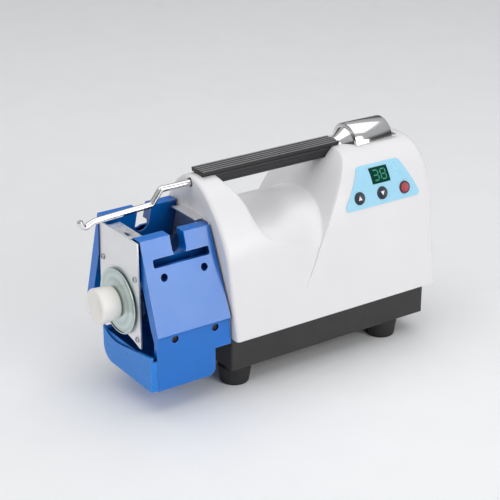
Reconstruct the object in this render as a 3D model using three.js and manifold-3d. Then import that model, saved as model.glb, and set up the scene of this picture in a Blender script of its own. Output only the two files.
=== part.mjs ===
// Grain moisture meter: a bench instrument with a motor-driven sample head.
//
// Millimetres, +Z up. X runs from the sample head (-X) to the control tower (+X), and the
// operator stands on the -Y side. All pieces are drawn in the bench frame, whose zero is
// the left end of the housing's bottom edge on the centre plane. The exported group moves
// that frame so that the origin is the centre of the footprint, on the surface it stands on.

import * as THREE from 'three';
import { mergeVertices } from 'three/addons/utils/BufferGeometryUtils.js';
import Module from 'manifold-3d';

const wasm = await Module();
wasm.setup();

// ---------------------------------------------------------------- driving dimensions
const gap = 0.3; // clearance between pieces that rest on each other
const standHeight = 57; // from the bench up to the housing's bottom edge

const housing = { length: 255, halfWidth: 71, wall: 3, lean: 9, leanHeight: 155, rounding: 8 };
// Arched upper part of the housing's cross-section at its two ends.
const headArch = { shoulder: 82, halfWidth: 62.6, top: 157, rise: 1.3, spread: 2 };
const towerArch = { shoulder: 82, halfWidth: 64.5, top: 157.5, rise: 2, spread: 2.8 };
const archBlend = 140; // length over which the head arch turns into the tower arch

const drum = { axis: 72, radius: 62.5, top: 117, lowTop: 108, foot: 10, start: 50, end: 100 };
// Side view of the hand opening in X and Z: the left shoulder's crest and the tower's flank.
const crestLine = [
  [17.5, 166], [20.5, 155.5], [26, 145], [30, 134], [33.5, 119],
  [38, 109.5], [45.5, 99.5], [59.5, 84.5], [77, 73],
];
const flankLine = [
  [72, 10], [95, 51.5], [110.5, 83.5], [124.5, 111.5],
  [140, 135.5], [151, 147.5], [160, 157], [168, 168],
];

const base = { length: 250, halfWidth: 60, height: 36.5, wall: 2.5, flange: 3 };
const foot = { x: [14.5, 206], y: 43, topRadius: 17.5, bottomRadius: 15 };

const spindleZ = 44;
const armZ = 150.5;
const crankZ = 136.5;
const armRadius = 3.2;

const head = { front: -92, coverFront: -88 };
const nearCover = { side: -1, front: -88, top: 117.5, topY: 35.5, bendY: 65, bottom: -32 };
const farCover = { side: 1, front: -93.5, top: 125, topY: 37, bendY: 66, bottom: 12 };
const bendZ = 27;
const coverWall = 13;
const skirt = { outerY: 62.5, wall: 5, topZ: 23 };
const notch = { x: -47, halfWidth: 8, bottom: 104 };
const slit = { start: -78, end: -14.5, bottom: 90.5, top: 99, floorInset: 2 };
const upperHoles = { x: [-69, -23.3], z: 80.4, radius: 3.9, floorY: 42 };
const lowerHoles = { x: [-67.3, -21], z: 20, radius: 3.9, shankRadius: 1.8, seatY: 60 };

const plate = { top: 117, bottom: 6, thickness: 1.6, halfTop: 36.5, halfBottom: 39, screwHole: 1.8 };
const frontScrews = [[-31, 78], [31, 80], [-32.5, 14], [32.5, 14]];
const rear = { bottom: -2, top: 119.6, halfWidth: 33, bore: 13.4 };

const barrel = { outer: 30, inner: 27 };
const shaftRadius = 6;
const tray = { front: -95.6, near: -54, far: 31, bottom: -30.5, corner: 16, wall: 2.5, back: -34 };

const grip = { start: 0, end: 168, halfWidth: 11.5, bottom: 157.8, thickness: 4.4, rib: 1 };
const core = { start: 1, end: 168, halfWidth: 8, bottom: 145.5, top: 157.5 };
const coreSlot = core.halfWidth + 0.4; // half width of the slot in the shell that takes the core
const coreSlotEnd = 0.7; // the slot stops this far before the chromed cover

const chrome = { axis: 153.5, radius: 21.5, sheet: 1.6, start: 183.3, end: 231, lipEnd: 237 };

const panel = { x: 187.6, y: 59.6, z: 115.5, lean: 17.4 };
const buttonPitch = 29.5;
const buttonRadius = 6.5;
const display = { x: 189.5, y: 51.9, z: 133, lean: 31.4, width: 23, height: 17 };

const motor = { radius: 36, wall: 3, start: 14, end: 104 };

const outlet = { y: -26, z: 24, width: 30, height: 24, face: 256.8 };
const rocker = { y: 22, z: 24, width: 16, height: 24, pivotX: 250.8, tilt: 7 };

const leftmost = -135; // tip of the swing arm's hook

// ---------------------------------------------------------------- materials
const white = { color: 0xe8e6e7, roughness: 0.42, metalness: 0 };
const charcoal = { color: 0x3a3738, roughness: 0.6, metalness: 0 };
const rubber = { color: 0x202020, roughness: 0.85, metalness: 0 };
const blackPlastic = { color: 0x2b2a2c, roughness: 0.5, metalness: 0 };
const blue = { color: 0x2f86dd, roughness: 0.4, metalness: 0 };
const navy = { color: 0x0a2a5c, roughness: 0.5, metalness: 0 };
const sheetMetal = { color: 0xe6e7e8, roughness: 0.35, metalness: 0.8 };
const zinc = { color: 0xc9dad8, roughness: 0.3, metalness: 0.9 };
const chromed = { color: 0xd8dadd, roughness: 0.1, metalness: 1 };
const steel = { color: 0xa9adb2, roughness: 0.35, metalness: 0.9 };
const ivory = { color: 0xf7f3ee, roughness: 0.35, metalness: 0 };
const labelBlue = { color: 0xa8dcf2, roughness: 0.35, metalness: 0 };
const displayGreen = { color: 0x06403a, roughness: 0.15, metalness: 0 };
const buttonBlack = { color: 0x0e1c30, roughness: 0.45, metalness: 0 };
const buttonRed = { color: 0xb0434b, roughness: 0.45, metalness: 0 };
const circuitGreen = { color: 0x1f6b3a, roughness: 0.6, metalness: 0 };
const copper = { color: 0xb4703a, roughness: 0.4, metalness: 0.8 };

// ---------------------------------------------------------------- solids
function toSolid(geometry) {
  const bare = geometry.clone();
  bare.deleteAttribute('normal');
  bare.deleteAttribute('uv');
  const merged = mergeVertices(bare, 1e-4);
  const corners = merged.index.array;
  const kept = [];
  for (let i = 0; i < corners.length; i += 3) {
    const [a, b, c] = [corners[i], corners[i + 1], corners[i + 2]];
    if (a !== b && b !== c && c !== a) kept.push(a, b, c);
  }
  return new wasm.Manifold(new wasm.Mesh({
    numProp: 3,
    vertProperties: new Float32Array(merged.attributes.position.array),
    triVerts: new Uint32Array(kept),
  }));
}

function toGeometry(solid) {
  const mesh = solid.getMesh();
  const geometry = new THREE.BufferGeometry();
  geometry.setAttribute('position', new THREE.BufferAttribute(mesh.vertProperties, 3));
  geometry.setIndex(new THREE.BufferAttribute(mesh.triVerts, 1));
  geometry.computeVertexNormals();
  return geometry;
}

function cut(geometry, ...tools) {
  let solid = toSolid(geometry);
  for (const tool of tools) solid = solid.subtract(toSolid(tool));
  return toGeometry(solid);
}

function join(geometry, ...others) {
  let solid = toSolid(geometry);
  for (const other of others) solid = solid.add(toSolid(other));
  return toGeometry(solid);
}

function common(geometry, other) {
  return toGeometry(toSolid(geometry).intersect(toSolid(other)));
}

const axisX = new THREE.Vector3(1, 0, 0);
const axisY = new THREE.Vector3(0, 1, 0);
const axisZ = new THREE.Vector3(0, 0, 1);

function box(x0, x1, y0, y1, z0, z1) {
  const geometry = new THREE.BoxGeometry(x1 - x0, y1 - y0, z1 - z0);
  return geometry.translate((x0 + x1) / 2, (y0 + y1) / 2, (z0 + z1) / 2);
}

function extrude(shape, depth, segments = 8) {
  const options = { depth, bevelEnabled: false, curveSegments: segments };
  return new THREE.ExtrudeGeometry(shape, options);
}

// A flat outline drawn in Y and Z, extruded from x0 to x1.
function slabX(shape, x0, x1, segments) {
  const turn = new THREE.Matrix4().makeBasis(axisY, axisZ, axisX);
  return extrude(shape, x1 - x0, segments).applyMatrix4(turn).translate(x0, 0, 0);
}

// A flat outline drawn in X and Z, extruded from y0 to y1.
function slabY(shape, y0, y1, segments) {
  return extrude(shape, y1 - y0, segments).rotateX(Math.PI / 2).translate(0, y1, 0);
}

function slabZ(shape, z0, z1, segments) {
  return extrude(shape, z1 - z0, segments).translate(0, 0, z0);
}

function outline(points) {
  return new THREE.Shape(points.map(([u, v]) => new THREE.Vector2(u, v)));
}

function roundedRect(u0, u1, v0, v1, radius) {
  const shape = new THREE.Shape();
  shape.moveTo(u0 + radius, v0);
  shape.lineTo(u1 - radius, v0);
  shape.absarc(u1 - radius, v0 + radius, radius, -Math.PI / 2, 0, false);
  shape.lineTo(u1, v1 - radius);
  shape.absarc(u1 - radius, v1 - radius, radius, 0, Math.PI / 2, false);
  shape.lineTo(u0 + radius, v1);
  shape.absarc(u0 + radius, v1 - radius, radius, Math.PI / 2, Math.PI, false);
  shape.lineTo(u0, v0 + radius);
  shape.absarc(u0 + radius, v0 + radius, radius, Math.PI, Math.PI * 1.5, false);
  return shape;
}

function circleHole(u, v, radius) {
  const hole = new THREE.Path();
  hole.absarc(u, v, radius, 0, Math.PI * 2, true);
  return hole;
}

// A turned piece along X about the line y = 0, z = height; profile points are [x, radius].
function turnedX(profile, height, sides = 32) {
  const points = profile.map(([x, radius]) => new THREE.Vector2(radius, x));
  const geometry = new THREE.LatheGeometry(points, sides);
  const turn = new THREE.Matrix4().makeBasis(axisY, axisX, axisZ.clone().negate());
  return geometry.applyMatrix4(turn).translate(0, 0, height);
}

// A turned piece standing on Z; profile points are [radius, z].
function turnedZ(profile, sides = 24) {
  const points = profile.map(([radius, z]) => new THREE.Vector2(radius, z));
  return new THREE.LatheGeometry(points, sides).rotateX(Math.PI / 2);
}

function pinX(radius, x0, x1, y, z, sides = 16) {
  const geometry = new THREE.CylinderGeometry(radius, radius, x1 - x0, sides);
  return geometry.rotateZ(Math.PI / 2).translate((x0 + x1) / 2, y, z);
}

function pinY(radius, y0, y1, x, z, sides = 16) {
  const geometry = new THREE.CylinderGeometry(radius, radius, y1 - y0, sides);
  return geometry.translate(x, (y0 + y1) / 2, z);
}

function pinZ(radius, z0, z1, x, y, sides = 16) {
  const geometry = new THREE.CylinderGeometry(radius, radius, z1 - z0, sides);
  return geometry.rotateX(Math.PI / 2).translate(x, y, (z0 + z1) / 2);
}

function ring(outer, inner, x0, x1, height, sides) {
  return turnedX([[x0, inner], [x0, outer], [x1, outer], [x1, inner], [x0, inner]], height, sides);
}

// Skins a row of rings that all have the same number of points, and closes both ends.
function loft(rings) {
  const count = rings[0].length;
  const positions = rings.flat().flatMap((point) => [point.x, point.y, point.z]);
  const faces = [];
  for (let i = 0; i + 1 < rings.length; i += 1) {
    for (let j = 0; j < count; j += 1) {
      const a = i * count + j;
      const b = i * count + ((j + 1) % count);
      faces.push(a, a + count, b, b, a + count, b + count);
    }
  }
  const lastRing = (rings.length - 1) * count;
  const flat = rings[0].map((point) => new THREE.Vector2(point.y, point.z));
  for (const [a, b, c] of THREE.ShapeUtils.triangulateShape(flat, [])) {
    const turns = (flat[b].x - flat[a].x) * (flat[c].y - flat[a].y)
      - (flat[b].y - flat[a].y) * (flat[c].x - flat[a].x);
    const [p, q] = turns < 0 ? [b, c] : [c, b];
    faces.push(a, p, q, lastRing + a, lastRing + q, lastRing + p);
  }
  const geometry = new THREE.BufferGeometry();
  geometry.setAttribute('position', new THREE.Float32BufferAttribute(positions, 3));
  geometry.setIndex(faces);
  return geometry;
}

function mix(a, b, t) {
  return a + (b - a) * t;
}

function smooth(from, to, value) {
  return THREE.MathUtils.smoothstep(value, from, to);
}

// ---------------------------------------------------------------- housing surfaces
function archAt(x) {
  const t = Math.min(Math.max(x / archBlend, 0), 1);
  const arch = {};
  for (const key of Object.keys(headArch)) arch[key] = mix(headArch[key], towerArch[key], t);
  return arch;
}

// Half the housing's width at a height above its bottom edge.
function envelopeHalfWidth(x, z) {
  const arch = archAt(x);
  if (z <= arch.shoulder) return mix(housing.halfWidth, arch.halfWidth, z / arch.shoulder);
  const height = Math.min((z - arch.shoulder) / (arch.top - arch.shoulder), 1);
  return arch.halfWidth * (1 - height ** arch.rise) ** (1 / arch.spread);
}

// The leaning left end of the housing.
function endPlane(z) {
  return -housing.lean * (z / housing.leanHeight);
}

// One cross-section of the housing's outer form; outset grows it, endInset rounds its end.
function envelopeRing(x, outset, endInset, bottom, leaning) {
  const steps = 9;
  const arch = archAt(x);
  const side = [];
  const heights = [bottom];
  for (let i = 0; i < steps; i += 1) {
    const rise = Math.sin((i / steps) * (Math.PI / 2));
    heights.push(mix(arch.shoulder, arch.top, rise));
  }
  for (const z of heights) {
    const inset = endInset * mix(0.15, 1, Math.max(z, 0) / arch.top);
    const grown = arch.top + outset - inset;
    const scale = z > arch.shoulder ? (grown - arch.shoulder) / (arch.top - arch.shoulder) : 1;
    const height = z > arch.shoulder ? arch.shoulder + (z - arch.shoulder) * scale : z;
    side.push([envelopeHalfWidth(x, z) + outset - inset, height]);
  }
  const top = [0, arch.top + outset - endInset];
  const points = side.map(([y, z]) => [-y, z]);
  points.push(top);
  points.push(...side.reverse());
  return points.map(([y, z]) => new THREE.Vector3(leaning ? x + endPlane(z) : x, y, z));
}

function envelope(outset = 0, bottom = 0) {
  const rings = [envelopeRing(-outset, outset, 0, bottom, true)];
  for (const x of [30, 85, archBlend]) rings.push(envelopeRing(x, outset, 0, bottom));
  for (const degrees of [0, 30, 60, 90]) {
    const angle = THREE.MathUtils.degToRad(degrees);
    const inset = housing.rounding * (1 - Math.cos(angle));
    const x = housing.length + outset - housing.rounding * (1 - Math.sin(angle));
    rings.push(envelopeRing(x, outset, inset, bottom));
  }
  return loft(rings);
}

// The drum-shaped floor of the hand opening, which narrows a little towards the tower.
function drumRing(x, outset) {
  const steps = 8;
  const narrowing = smooth(drum.start, drum.end, x);
  const top = mix(drum.lowTop, drum.top, smooth(62, 100, x)) + outset;
  const atAxis = envelopeHalfWidth(x, drum.axis) + 1;
  const radius = mix(atAxis, drum.radius, narrowing) + outset;
  const spread = mix(3.6, 2, smooth(drum.start, drum.end, x));
  const side = [];
  for (let i = 0; i <= 5; i += 1) {
    const z = mix(drum.foot - 6, drum.axis, i / 5);
    const rise = Math.max((z - drum.foot) / (drum.axis - drum.foot), 0);
    const depth = (atAxis + outset - radius) * rise ** 0.75;
    side.push([envelopeHalfWidth(x, z) + 1 + outset - depth, z]);
  }
  for (let i = 1; i < steps; i += 1) {
    const angle = (i / steps) * (Math.PI / 2);
    const y = radius * Math.cos(angle) ** (2 / spread);
    const z = drum.axis + (top - drum.axis) * Math.sin(angle) ** (2 / spread);
    side.push([y, z]);
  }
  const points = side.map(([y, z]) => [-y, z]);
  points.push([0, top]);
  points.push(...side.reverse());
  return points.map(([y, z]) => new THREE.Vector3(x, y, z));
}

function drumBody(outset = 0) {
  const stations = [5, 50, 60, 70, 80, 90, 100, 175];
  return loft(stations.map((x) => drumRing(x, outset)));
}

function sampled(line, steps) {
  return new THREE.SplineCurve(line.map(([x, z]) => new THREE.Vector2(x, z))).getPoints(steps);
}

// Everything between the left shoulder's crest and the tower's flank.
function valleyWedge(outset = 0) {
  const shift = outset * 1.3;
  const points = sampled(crestLine, 16).map((point) => [point.x - shift, point.y]);
  points.push(...sampled(flankLine, 14).map((point) => [point.x + shift, point.y]));
  points.push([flankLine[flankLine.length - 1][0] + shift, 190]);
  points.push([crestLine[0][0] - shift, 190]);
  return slabY(outline(points), -90, 90);
}

function housingShell() {
  const valley = cut(valleyWedge(), drumBody());
  const outer = cut(envelope(), valley);
  const innerValley = cut(valleyWedge(housing.wall), drumBody(-housing.wall));
  const cavity = cut(common(envelope(-housing.wall, -5), box(-20, 300, -90, 90, -5, 200)), innerValley);
  const tools = [
    cavity,
    box(core.start - gap, chrome.start - coreSlotEnd, -coreSlot, coreSlot, core.bottom - gap, 190),
    pinX(4.9, -20, core.start, 0, armZ, 16),
    box(-20, core.start, -4.9, 4.9, armZ, 190),
    pinX(15, -12, 8, 0, spindleZ, 24),
    box(245, 260, outlet.y - 13.8, outlet.y + 13.8, outlet.z - 10.3, outlet.z + 10.3),
    box(245, 260, rocker.y - 7.2, rocker.y + 7.2, rocker.z - 11.2, rocker.z + 11.2),
    placed(box(-11.8, 11.8, -8.8, 8.8, -12, 8), display),
  ];
  for (const index of [-1, 0, 1]) tools.push(placed(buttonHole(), panel, index * buttonPitch));
  return cut(outer, ...tools);
}

// Turns a geometry drawn on a flat panel (x along, y up the slope, z outwards) into place.
function placed(geometry, spot, along = 0) {
  const turned = geometry.clone().rotateX(THREE.MathUtils.degToRad(90 - spot.lean));
  return turned.translate(spot.x + along, -spot.y, spot.z);
}

function buttonHole() {
  return pinZ(buttonRadius + gap, -12, 8, 0, 0, 20);
}

// ---------------------------------------------------------------- base and feet
function basePan() {
  const bottom = -base.height;
  const flange = box(4.2, 247, -66.4, 66.4, 0.2, base.flange);
  const walls = box(0, base.length, -base.halfWidth, base.halfWidth, bottom, -gap);
  const neck = box(4.2, 247, -base.halfWidth, base.halfWidth, -1, 1);
  const inside = box(
    base.wall + 4, base.length - base.wall - 4,
    -base.halfWidth + base.wall, base.halfWidth - base.wall,
    bottom + base.wall, 20,
  );
  const tools = [inside];
  for (const x of foot.x) {
    for (const side of [-1, 1]) tools.push(pinZ(2.3, bottom - 5, bottom + 5, x, side * foot.y, 12));
  }
  for (let i = 0; i < 5; i += 1) {
    const x = 60 + i * 12;
    tools.push(box(x, x + 5, -22, 22, bottom - 5, bottom + 5));
  }
  return cut(join(walls, neck, flange), ...tools);
}

// A tapered foot with its moulded stud, which plugs into the pan from below.
function rubberFoot() {
  const top = -base.height - gap;
  const bottom = -standHeight;
  return turnedZ([
    [0, bottom + 4],
    [8, bottom + 4],
    [8.5, bottom],
    [foot.bottomRadius - 1.5, bottom],
    [foot.bottomRadius, bottom + 1.5],
    [foot.topRadius, top - 2],
    [foot.topRadius - 1, top],
    [2, top],
    [2, top + 5],
    [0, top + 5],
  ], 20);
}

// A pan-head screw whose head's underside is at zero and whose shank points up.
function panScrew(headRadius, headHeight, shankRadius, length, sides = 8) {
  return turnedZ([
    [0, -headHeight],
    [headRadius * 0.75, -headHeight],
    [headRadius, -headHeight * 0.5],
    [headRadius, 0],
    [shankRadius, 0],
    [shankRadius, length],
    [0, length],
  ], sides);
}

// ---------------------------------------------------------------- sample head
function coverSection({ side, top, topY, bendY, bottom }) {
  const s = side;
  const innerSkirt = skirt.outerY - skirt.wall;
  return outline([
    [s * topY, top],
    [s * bendY, bendZ],
    [s * skirt.outerY, skirt.topZ],
    [s * skirt.outerY, bottom],
    [s * innerSkirt, bottom],
    [s * innerSkirt, skirt.topZ - 4],
    [s * (bendY - coverWall), bendZ + 4],
    [s * (topY - coverWall), top],
  ]);
}

function rearTrim() {
  const offset = 2.3;
  return slabY(outline([
    [endPlane(-40) - offset, -40],
    [60, -40],
    [60, 140],
    [endPlane(140) - offset, 140],
  ]), -90, 90);
}

function sideCover(cover) {
  const body = slabX(coverSection(cover), cover.front, 0);
  const rise = cover.top - nearCover.top;
  const [y0, y1] = cover.side < 0 ? [-80, -10] : [10, 80];
  const tools = [
    rearTrim(),
    box(notch.x - notch.halfWidth, notch.x + notch.halfWidth, y0, y1, notch.bottom, 140),
    pinY(notch.halfWidth, y0, y1, notch.x, notch.bottom, 20),
    slitPocket(cover, rise),
  ];
  for (const x of upperHoles.x) {
    const depth = cover.side < 0 ? [-80, -upperHoles.floorY] : [upperHoles.floorY, 80];
    tools.push(pinY(upperHoles.radius, ...depth, x, upperHoles.z + rise, 14));
  }
  for (const x of lowerHoles.x) {
    tools.push(pinY(lowerHoles.shankRadius, y0, y1, x, lowerHoles.z, 10));
    const seat = cover.side < 0 ? [-80, -lowerHoles.seatY] : [lowerHoles.seatY, 80];
    tools.push(pinY(lowerHoles.radius, ...seat, x, lowerHoles.z, 14));
  }
  if (cover.side < 0) tools.push(footNotch());
  else tools.push(slabX(plateOutline(gap), head.front - 4, head.front + 2));
  return cut(body, ...tools);
}

// A blind slot in a cover's outer face, with the rest of the wall left behind it.
function slitPocket(cover, rise) {
  const outline = roundedRect(slit.start, slit.end, slit.bottom + rise, slit.top + rise, 2);
  const floor = cover.topY - slit.floorInset;
  const depth = cover.side < 0 ? [-80, -floor] : [floor, 80];
  return slabY(outline, ...depth, 3);
}

// The cut-away that clears the front foot under the near cover.
function footNotch() {
  const shape = new THREE.Shape();
  shape.moveTo(10, -3);
  shape.lineTo(-21, -3);
  shape.lineTo(-21, -24);
  shape.absarc(-29, -24, 8, 0, -Math.PI / 2, true);
  shape.lineTo(-29, -40);
  shape.lineTo(10, -40);
  return slabY(shape, -80, -40, 6);
}

function plateOutline(outset) {
  const top = plate.top + outset;
  const bottom = plate.bottom - outset;
  const halfTop = plate.halfTop + outset;
  const halfBottom = plate.halfBottom + outset;
  const shape = new THREE.Shape();
  shape.moveTo(-halfTop, top);
  shape.lineTo(-halfBottom, bottom);
  shape.lineTo(-35, bottom);
  shape.quadraticCurveTo(0, 20, 35, bottom);
  shape.lineTo(halfBottom, bottom);
  shape.lineTo(halfTop, top);
  return shape;
}

function frontPlate() {
  const sheet = slabX(plateOutline(0), head.front, head.front + plate.thickness, 10);
  const flange = box(head.front + 0.4, -77, -21.5, 21.5, plate.top - plate.thickness, plate.top);
  const tools = [pinX(9, -100, -80, 0, spindleZ, 24)];
  tools.push(slabZ(roundedRect(-88.6, -85, -14, -4.5, 1.6), 110, 120, 4));
  for (const [y, z] of frontScrews) tools.push(pinX(plate.screwHole, -100, -80, y, z, 10));
  return cut(join(sheet, flange), ...tools);
}

function rearPlate() {
  const face = (z) => endPlane(z) - gap;
  const { bottom, top, halfWidth, bore } = rear;
  const sheet = slabY(outline([
    [face(bottom), bottom],
    [face(top), top],
    [face(top) - plate.thickness, top],
    [face(bottom) - plate.thickness, bottom],
  ]), -halfWidth, halfWidth);
  const flange = box(-17, face(top) - 0.5, -20.5, 22.5, top - plate.thickness, top);
  return cut(join(sheet, flange), pinX(bore, -20, 5, 0, spindleZ, 28));
}

function millingBarrel() {
  const body = turnedX([
    [-82.5, barrel.inner],
    [-82.5, barrel.outer],
    [-8, barrel.outer],
    [-8, 13.3],
    [-15, 13.3],
    [-15, 8],
    [-17, 8],
    [-17, barrel.inner],
    [-82.5, barrel.inner],
  ], spindleZ, 28);
  const feedMouth = box(-70, -30, -13, 13, spindleZ + 10, spindleZ + 40);
  const outletMouth = box(-72, -28, -14, 14, spindleZ - 40, spindleZ - 12);
  return cut(body, feedMouth, outletMouth);
}

function barrelCap() {
  return turnedX([
    [-90.1, 8],
    [-90.1, 29],
    [-82.8, 29],
    [-82.8, 13.3],
    [-88.1, 13.3],
    [-88.1, 8],
    [-90.1, 8],
  ], spindleZ, 28);
}

// Funnel from the open chamber down to the barrel's feed mouth.
function feedFunnel() {
  const rim = (x0, x1, y, z) => [
    new THREE.Vector3(z, -y, x0),
    new THREE.Vector3(z, -y, x1),
    new THREE.Vector3(z, y, x1),
    new THREE.Vector3(z, y, x0),
  ];
  const outer = loft([rim(-71, -29, 12.6, 74.6), rim(-88, -12, 23, 89)]);
  const inner = loft([rim(-69.4, -30.6, 11, 74), rim(-86.4, -13.6, 21.4, 90)]);
  const upright = new THREE.Matrix4().makeBasis(axisZ, axisY, axisX);
  const mirrored = [outer, inner].map((geometry) => flipped(geometry.applyMatrix4(upright)));
  return cut(cut(mirrored[0], mirrored[1]), pinX(barrel.outer + gap, -95, 0, 0, spindleZ, 40));
}

// Swaps two corners of each triangle, after a mapping that mirrors the piece.
function flipped(geometry) {
  const index = geometry.index.array;
  for (let i = 0; i < index.length; i += 3) [index[i], index[i + 1]] = [index[i + 1], index[i]];
  return geometry;
}

// ---------------------------------------------------------------- spindle
function spindleShaft() {
  return turnedX([
    [-118.5, 0],
    [-118.5, 4],
    [-99, 4],
    [-99, shaftRadius],
    [-6, shaftRadius],
    [-6, 0],
  ], spindleZ, 20);
}

function abrasiveRoller() {
  const shape = new THREE.Shape();
  const flutes = 14;
  for (let i = 0; i < flutes; i += 1) {
    const angle = (i / flutes) * Math.PI * 2;
    const step = (Math.PI * 2) / flutes;
    const corner = (fraction, radius) => [
      radius * Math.cos(angle + step * fraction),
      spindleZ + radius * Math.sin(angle + step * fraction),
    ];
    if (i === 0) shape.moveTo(...corner(0, 24));
    else shape.lineTo(...corner(0, 24));
    shape.lineTo(...corner(0.55, 24));
    shape.lineTo(...corner(0.7, 21.5));
    shape.lineTo(...corner(0.85, 21.5));
  }
  shape.holes.push(circleHole(0, spindleZ, shaftRadius + gap));
  return slabX(shape, -78, -22, 10);
}

function dishedDisc() {
  return turnedX([
    [-98.6, 6.4],
    [-98.6, 14],
    [-95.4, 24],
    [-94.2, 31],
    [-95.6, 33],
    [-95.6, 34],
    [-94.6, 34],
    [-92.6, 31.5],
    [-93.8, 24],
    [-97, 13.5],
    [-97, 6.4],
    [-98.6, 6.4],
  ], spindleZ, 32);
}

function handKnob() {
  return turnedX([
    [-99, 4.3],
    [-118.8, 4.3],
    [-118.8, 0],
    [-120.5, 0],
    [-120.5, 16.6],
    [-119.5, 18],
    [-117.5, 18.5],
    [-101, 17.3],
    [-99.4, 16.4],
    [-99, 15.4],
    [-99, 4.3],
  ], spindleZ, 28);
}

function bearing(start) {
  return ring(13, shaftRadius + gap, start, start + 5, spindleZ, 20);
}

function coupling() {
  return turnedX([
    [-5.5, 6.3],
    [-5.5, 10],
    [8.5, 10],
    [8.5, 5.3],
    [-3.7, 5.3],
    [-3.7, 6.3],
    [-5.5, 6.3],
  ], spindleZ, 16);
}

// ---------------------------------------------------------------- motor
function motorCan() {
  const { radius, wall, start, end } = motor;
  return ring(radius, radius - wall, start, end, spindleZ, 28);
}

function motorBell(x0, x1) {
  return ring(motor.radius, 13.3, x0, x1, spindleZ, 28);
}

function motorRotor() {
  return turnedX([
    [-3, 0],
    [-3, 5],
    [22, 5],
    [22, 19],
    [92, 19],
    [92, 5],
    [122, 5],
    [122, 0],
  ], spindleZ, 20);
}

function coolingFan() {
  const blades = [];
  const count = 6;
  for (let i = 0; i < count; i += 1) {
    const blade = box(113, 121, -1, 1, 8, 29);
    blades.push(blade.rotateX((i / count) * Math.PI * 2).translate(0, 0, spindleZ));
  }
  return join(ring(10, 5.3, 112, 121, spindleZ, 20), ...blades);
}

function motorCradle() {
  const block = box(30, 90, -30, 30, -base.height + base.wall + gap, spindleZ - 14);
  return cut(block, pinX(motor.radius + gap, 20, 100, 0, spindleZ, 40));
}

// ---------------------------------------------------------------- tray
function trayOutline(near, inset) {
  const far = tray.far - inset;
  const bottom = tray.bottom + inset;
  const corner = tray.corner - inset;
  const shape = new THREE.Shape();
  shape.moveTo(near + inset, bottom);
  shape.lineTo(far - corner, bottom);
  shape.absarc(far - corner, bottom + corner, corner, -Math.PI / 2, 0, false);
  return shape;
}

function sampleTray() {
  const frontX = tray.front;
  const front = trayOutline(-skirt.outerY, 0);
  front.lineTo(tray.far, 5.5);
  front.splineThru([
    new THREE.Vector2(22, 0),
    new THREE.Vector2(6, -3.3),
    new THREE.Vector2(-25, 0.8),
    new THREE.Vector2(-skirt.outerY, 6.8),
  ]);
  const body = trayOutline(tray.near, 0);
  body.lineTo(tray.far, 1.5);
  body.lineTo(tray.near, 1.5);
  const inside = trayOutline(tray.near, tray.wall);
  inside.lineTo(tray.far - tray.wall, 20);
  inside.lineTo(tray.near + tray.wall, 20);
  const walls = cut(
    slabX(body, frontX + 2, tray.back, 6),
    slabX(inside, frontX + 3, tray.back - tray.wall, 6),
  );
  return join(
    slabX(front, frontX, frontX + 3, 6),
    walls,
    box(frontX, head.coverFront - gap, -skirt.outerY, -skirt.outerY + 3, tray.bottom, 1.5),
    box(frontX + 2, tray.back, tray.near - 2.6, tray.near + 1, 0, 1.5),
    box(frontX + 2, tray.back, tray.far - 1, tray.far + 4, 0, 1.5),
  );
}

function trayRail(y0, y1) {
  return box(-88, -8, y0, y1, -3, -0.4);
}

// ---------------------------------------------------------------- handle and arm
function handleGrip() {
  const ribs = 5;
  const pitch = (grip.halfWidth * 2) / ribs;
  const top = grip.bottom + grip.thickness;
  const points = [[-grip.halfWidth + 1.5, grip.bottom], [grip.halfWidth - 1.5, grip.bottom]];
  for (let i = 0; i < ribs; i += 1) {
    const y = grip.halfWidth - i * pitch;
    points.push([y - 0.6, top - grip.rib], [y - 1.2, top], [y - pitch + 1.2, top]);
    points.push([y - pitch + 0.6, top - grip.rib]);
  }
  return slabX(outline(points), grip.start, grip.end);
}

function handleCore() {
  const shape = roundedRect(-core.halfWidth, core.halfWidth, core.bottom, core.top, 2.5);
  shape.holes.push(circleHole(0, armZ, armRadius + gap));
  return slabX(shape, core.start, core.end, 6);
}

function swingArm() {
  const bendStart = -34;
  const path = new THREE.CatmullRomCurve3([
    new THREE.Vector3(bendStart, 0, armZ),
    new THREE.Vector3(-39, 0, armZ),
    new THREE.Vector3(-43, 0, armZ - 1.2),
    new THREE.Vector3(-52.5, 0, crankZ + 1.2),
    new THREE.Vector3(-57, 0, crankZ),
    new THREE.Vector3(-84, 0, crankZ - 1.2),
    new THREE.Vector3(-113, 0, crankZ - 2.6),
    new THREE.Vector3(-119, 0, crankZ - 3.8),
    new THREE.Vector3(-126, 0, crankZ - 6.4),
    new THREE.Vector3(-130, 0, crankZ - 4.4),
    new THREE.Vector3(leftmost + 2.3, 0, crankZ + 0.5),
  ], false, 'centripetal');
  const section = new THREE.Shape();
  section.absarc(0, 0, armRadius, 0, Math.PI * 2, false);
  const bent = new THREE.ExtrudeGeometry(section, {
    steps: 34,
    curveSegments: 4,
    extrudePath: path,
  });
  return join(bent, pinX(armRadius, bendStart - 1, 180, 0, armZ, 12));
}

// ---------------------------------------------------------------- chromed cover
function aboveHousing(geometry) {
  return cut(geometry, envelope(gap), box(100, 260, -80, 80, 90, core.top - 1.5));
}

function chromeCover() {
  const { axis, radius, sheet, start, end, lipEnd } = chrome;
  const dome = cut(
    pinX(radius, start, end, 0, axis, 36),
    pinX(radius - sheet, start + sheet, end - sheet, 0, axis, 36),
  );
  const lip = box(end - 1, lipEnd, -radius + 1, radius - 1, 157, 159.2);
  return aboveHousing(join(dome, lip));
}

function chromeNeck() {
  const neck = turnedX([
    [168.4, 6],
    [168.4, 9],
    [171, 9.8],
    [183, 17.4],
    [183, 14.5],
    [171.5, 6],
    [168.4, 6],
  ], chrome.axis, 28);
  return aboveHousing(neck);
}

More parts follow.
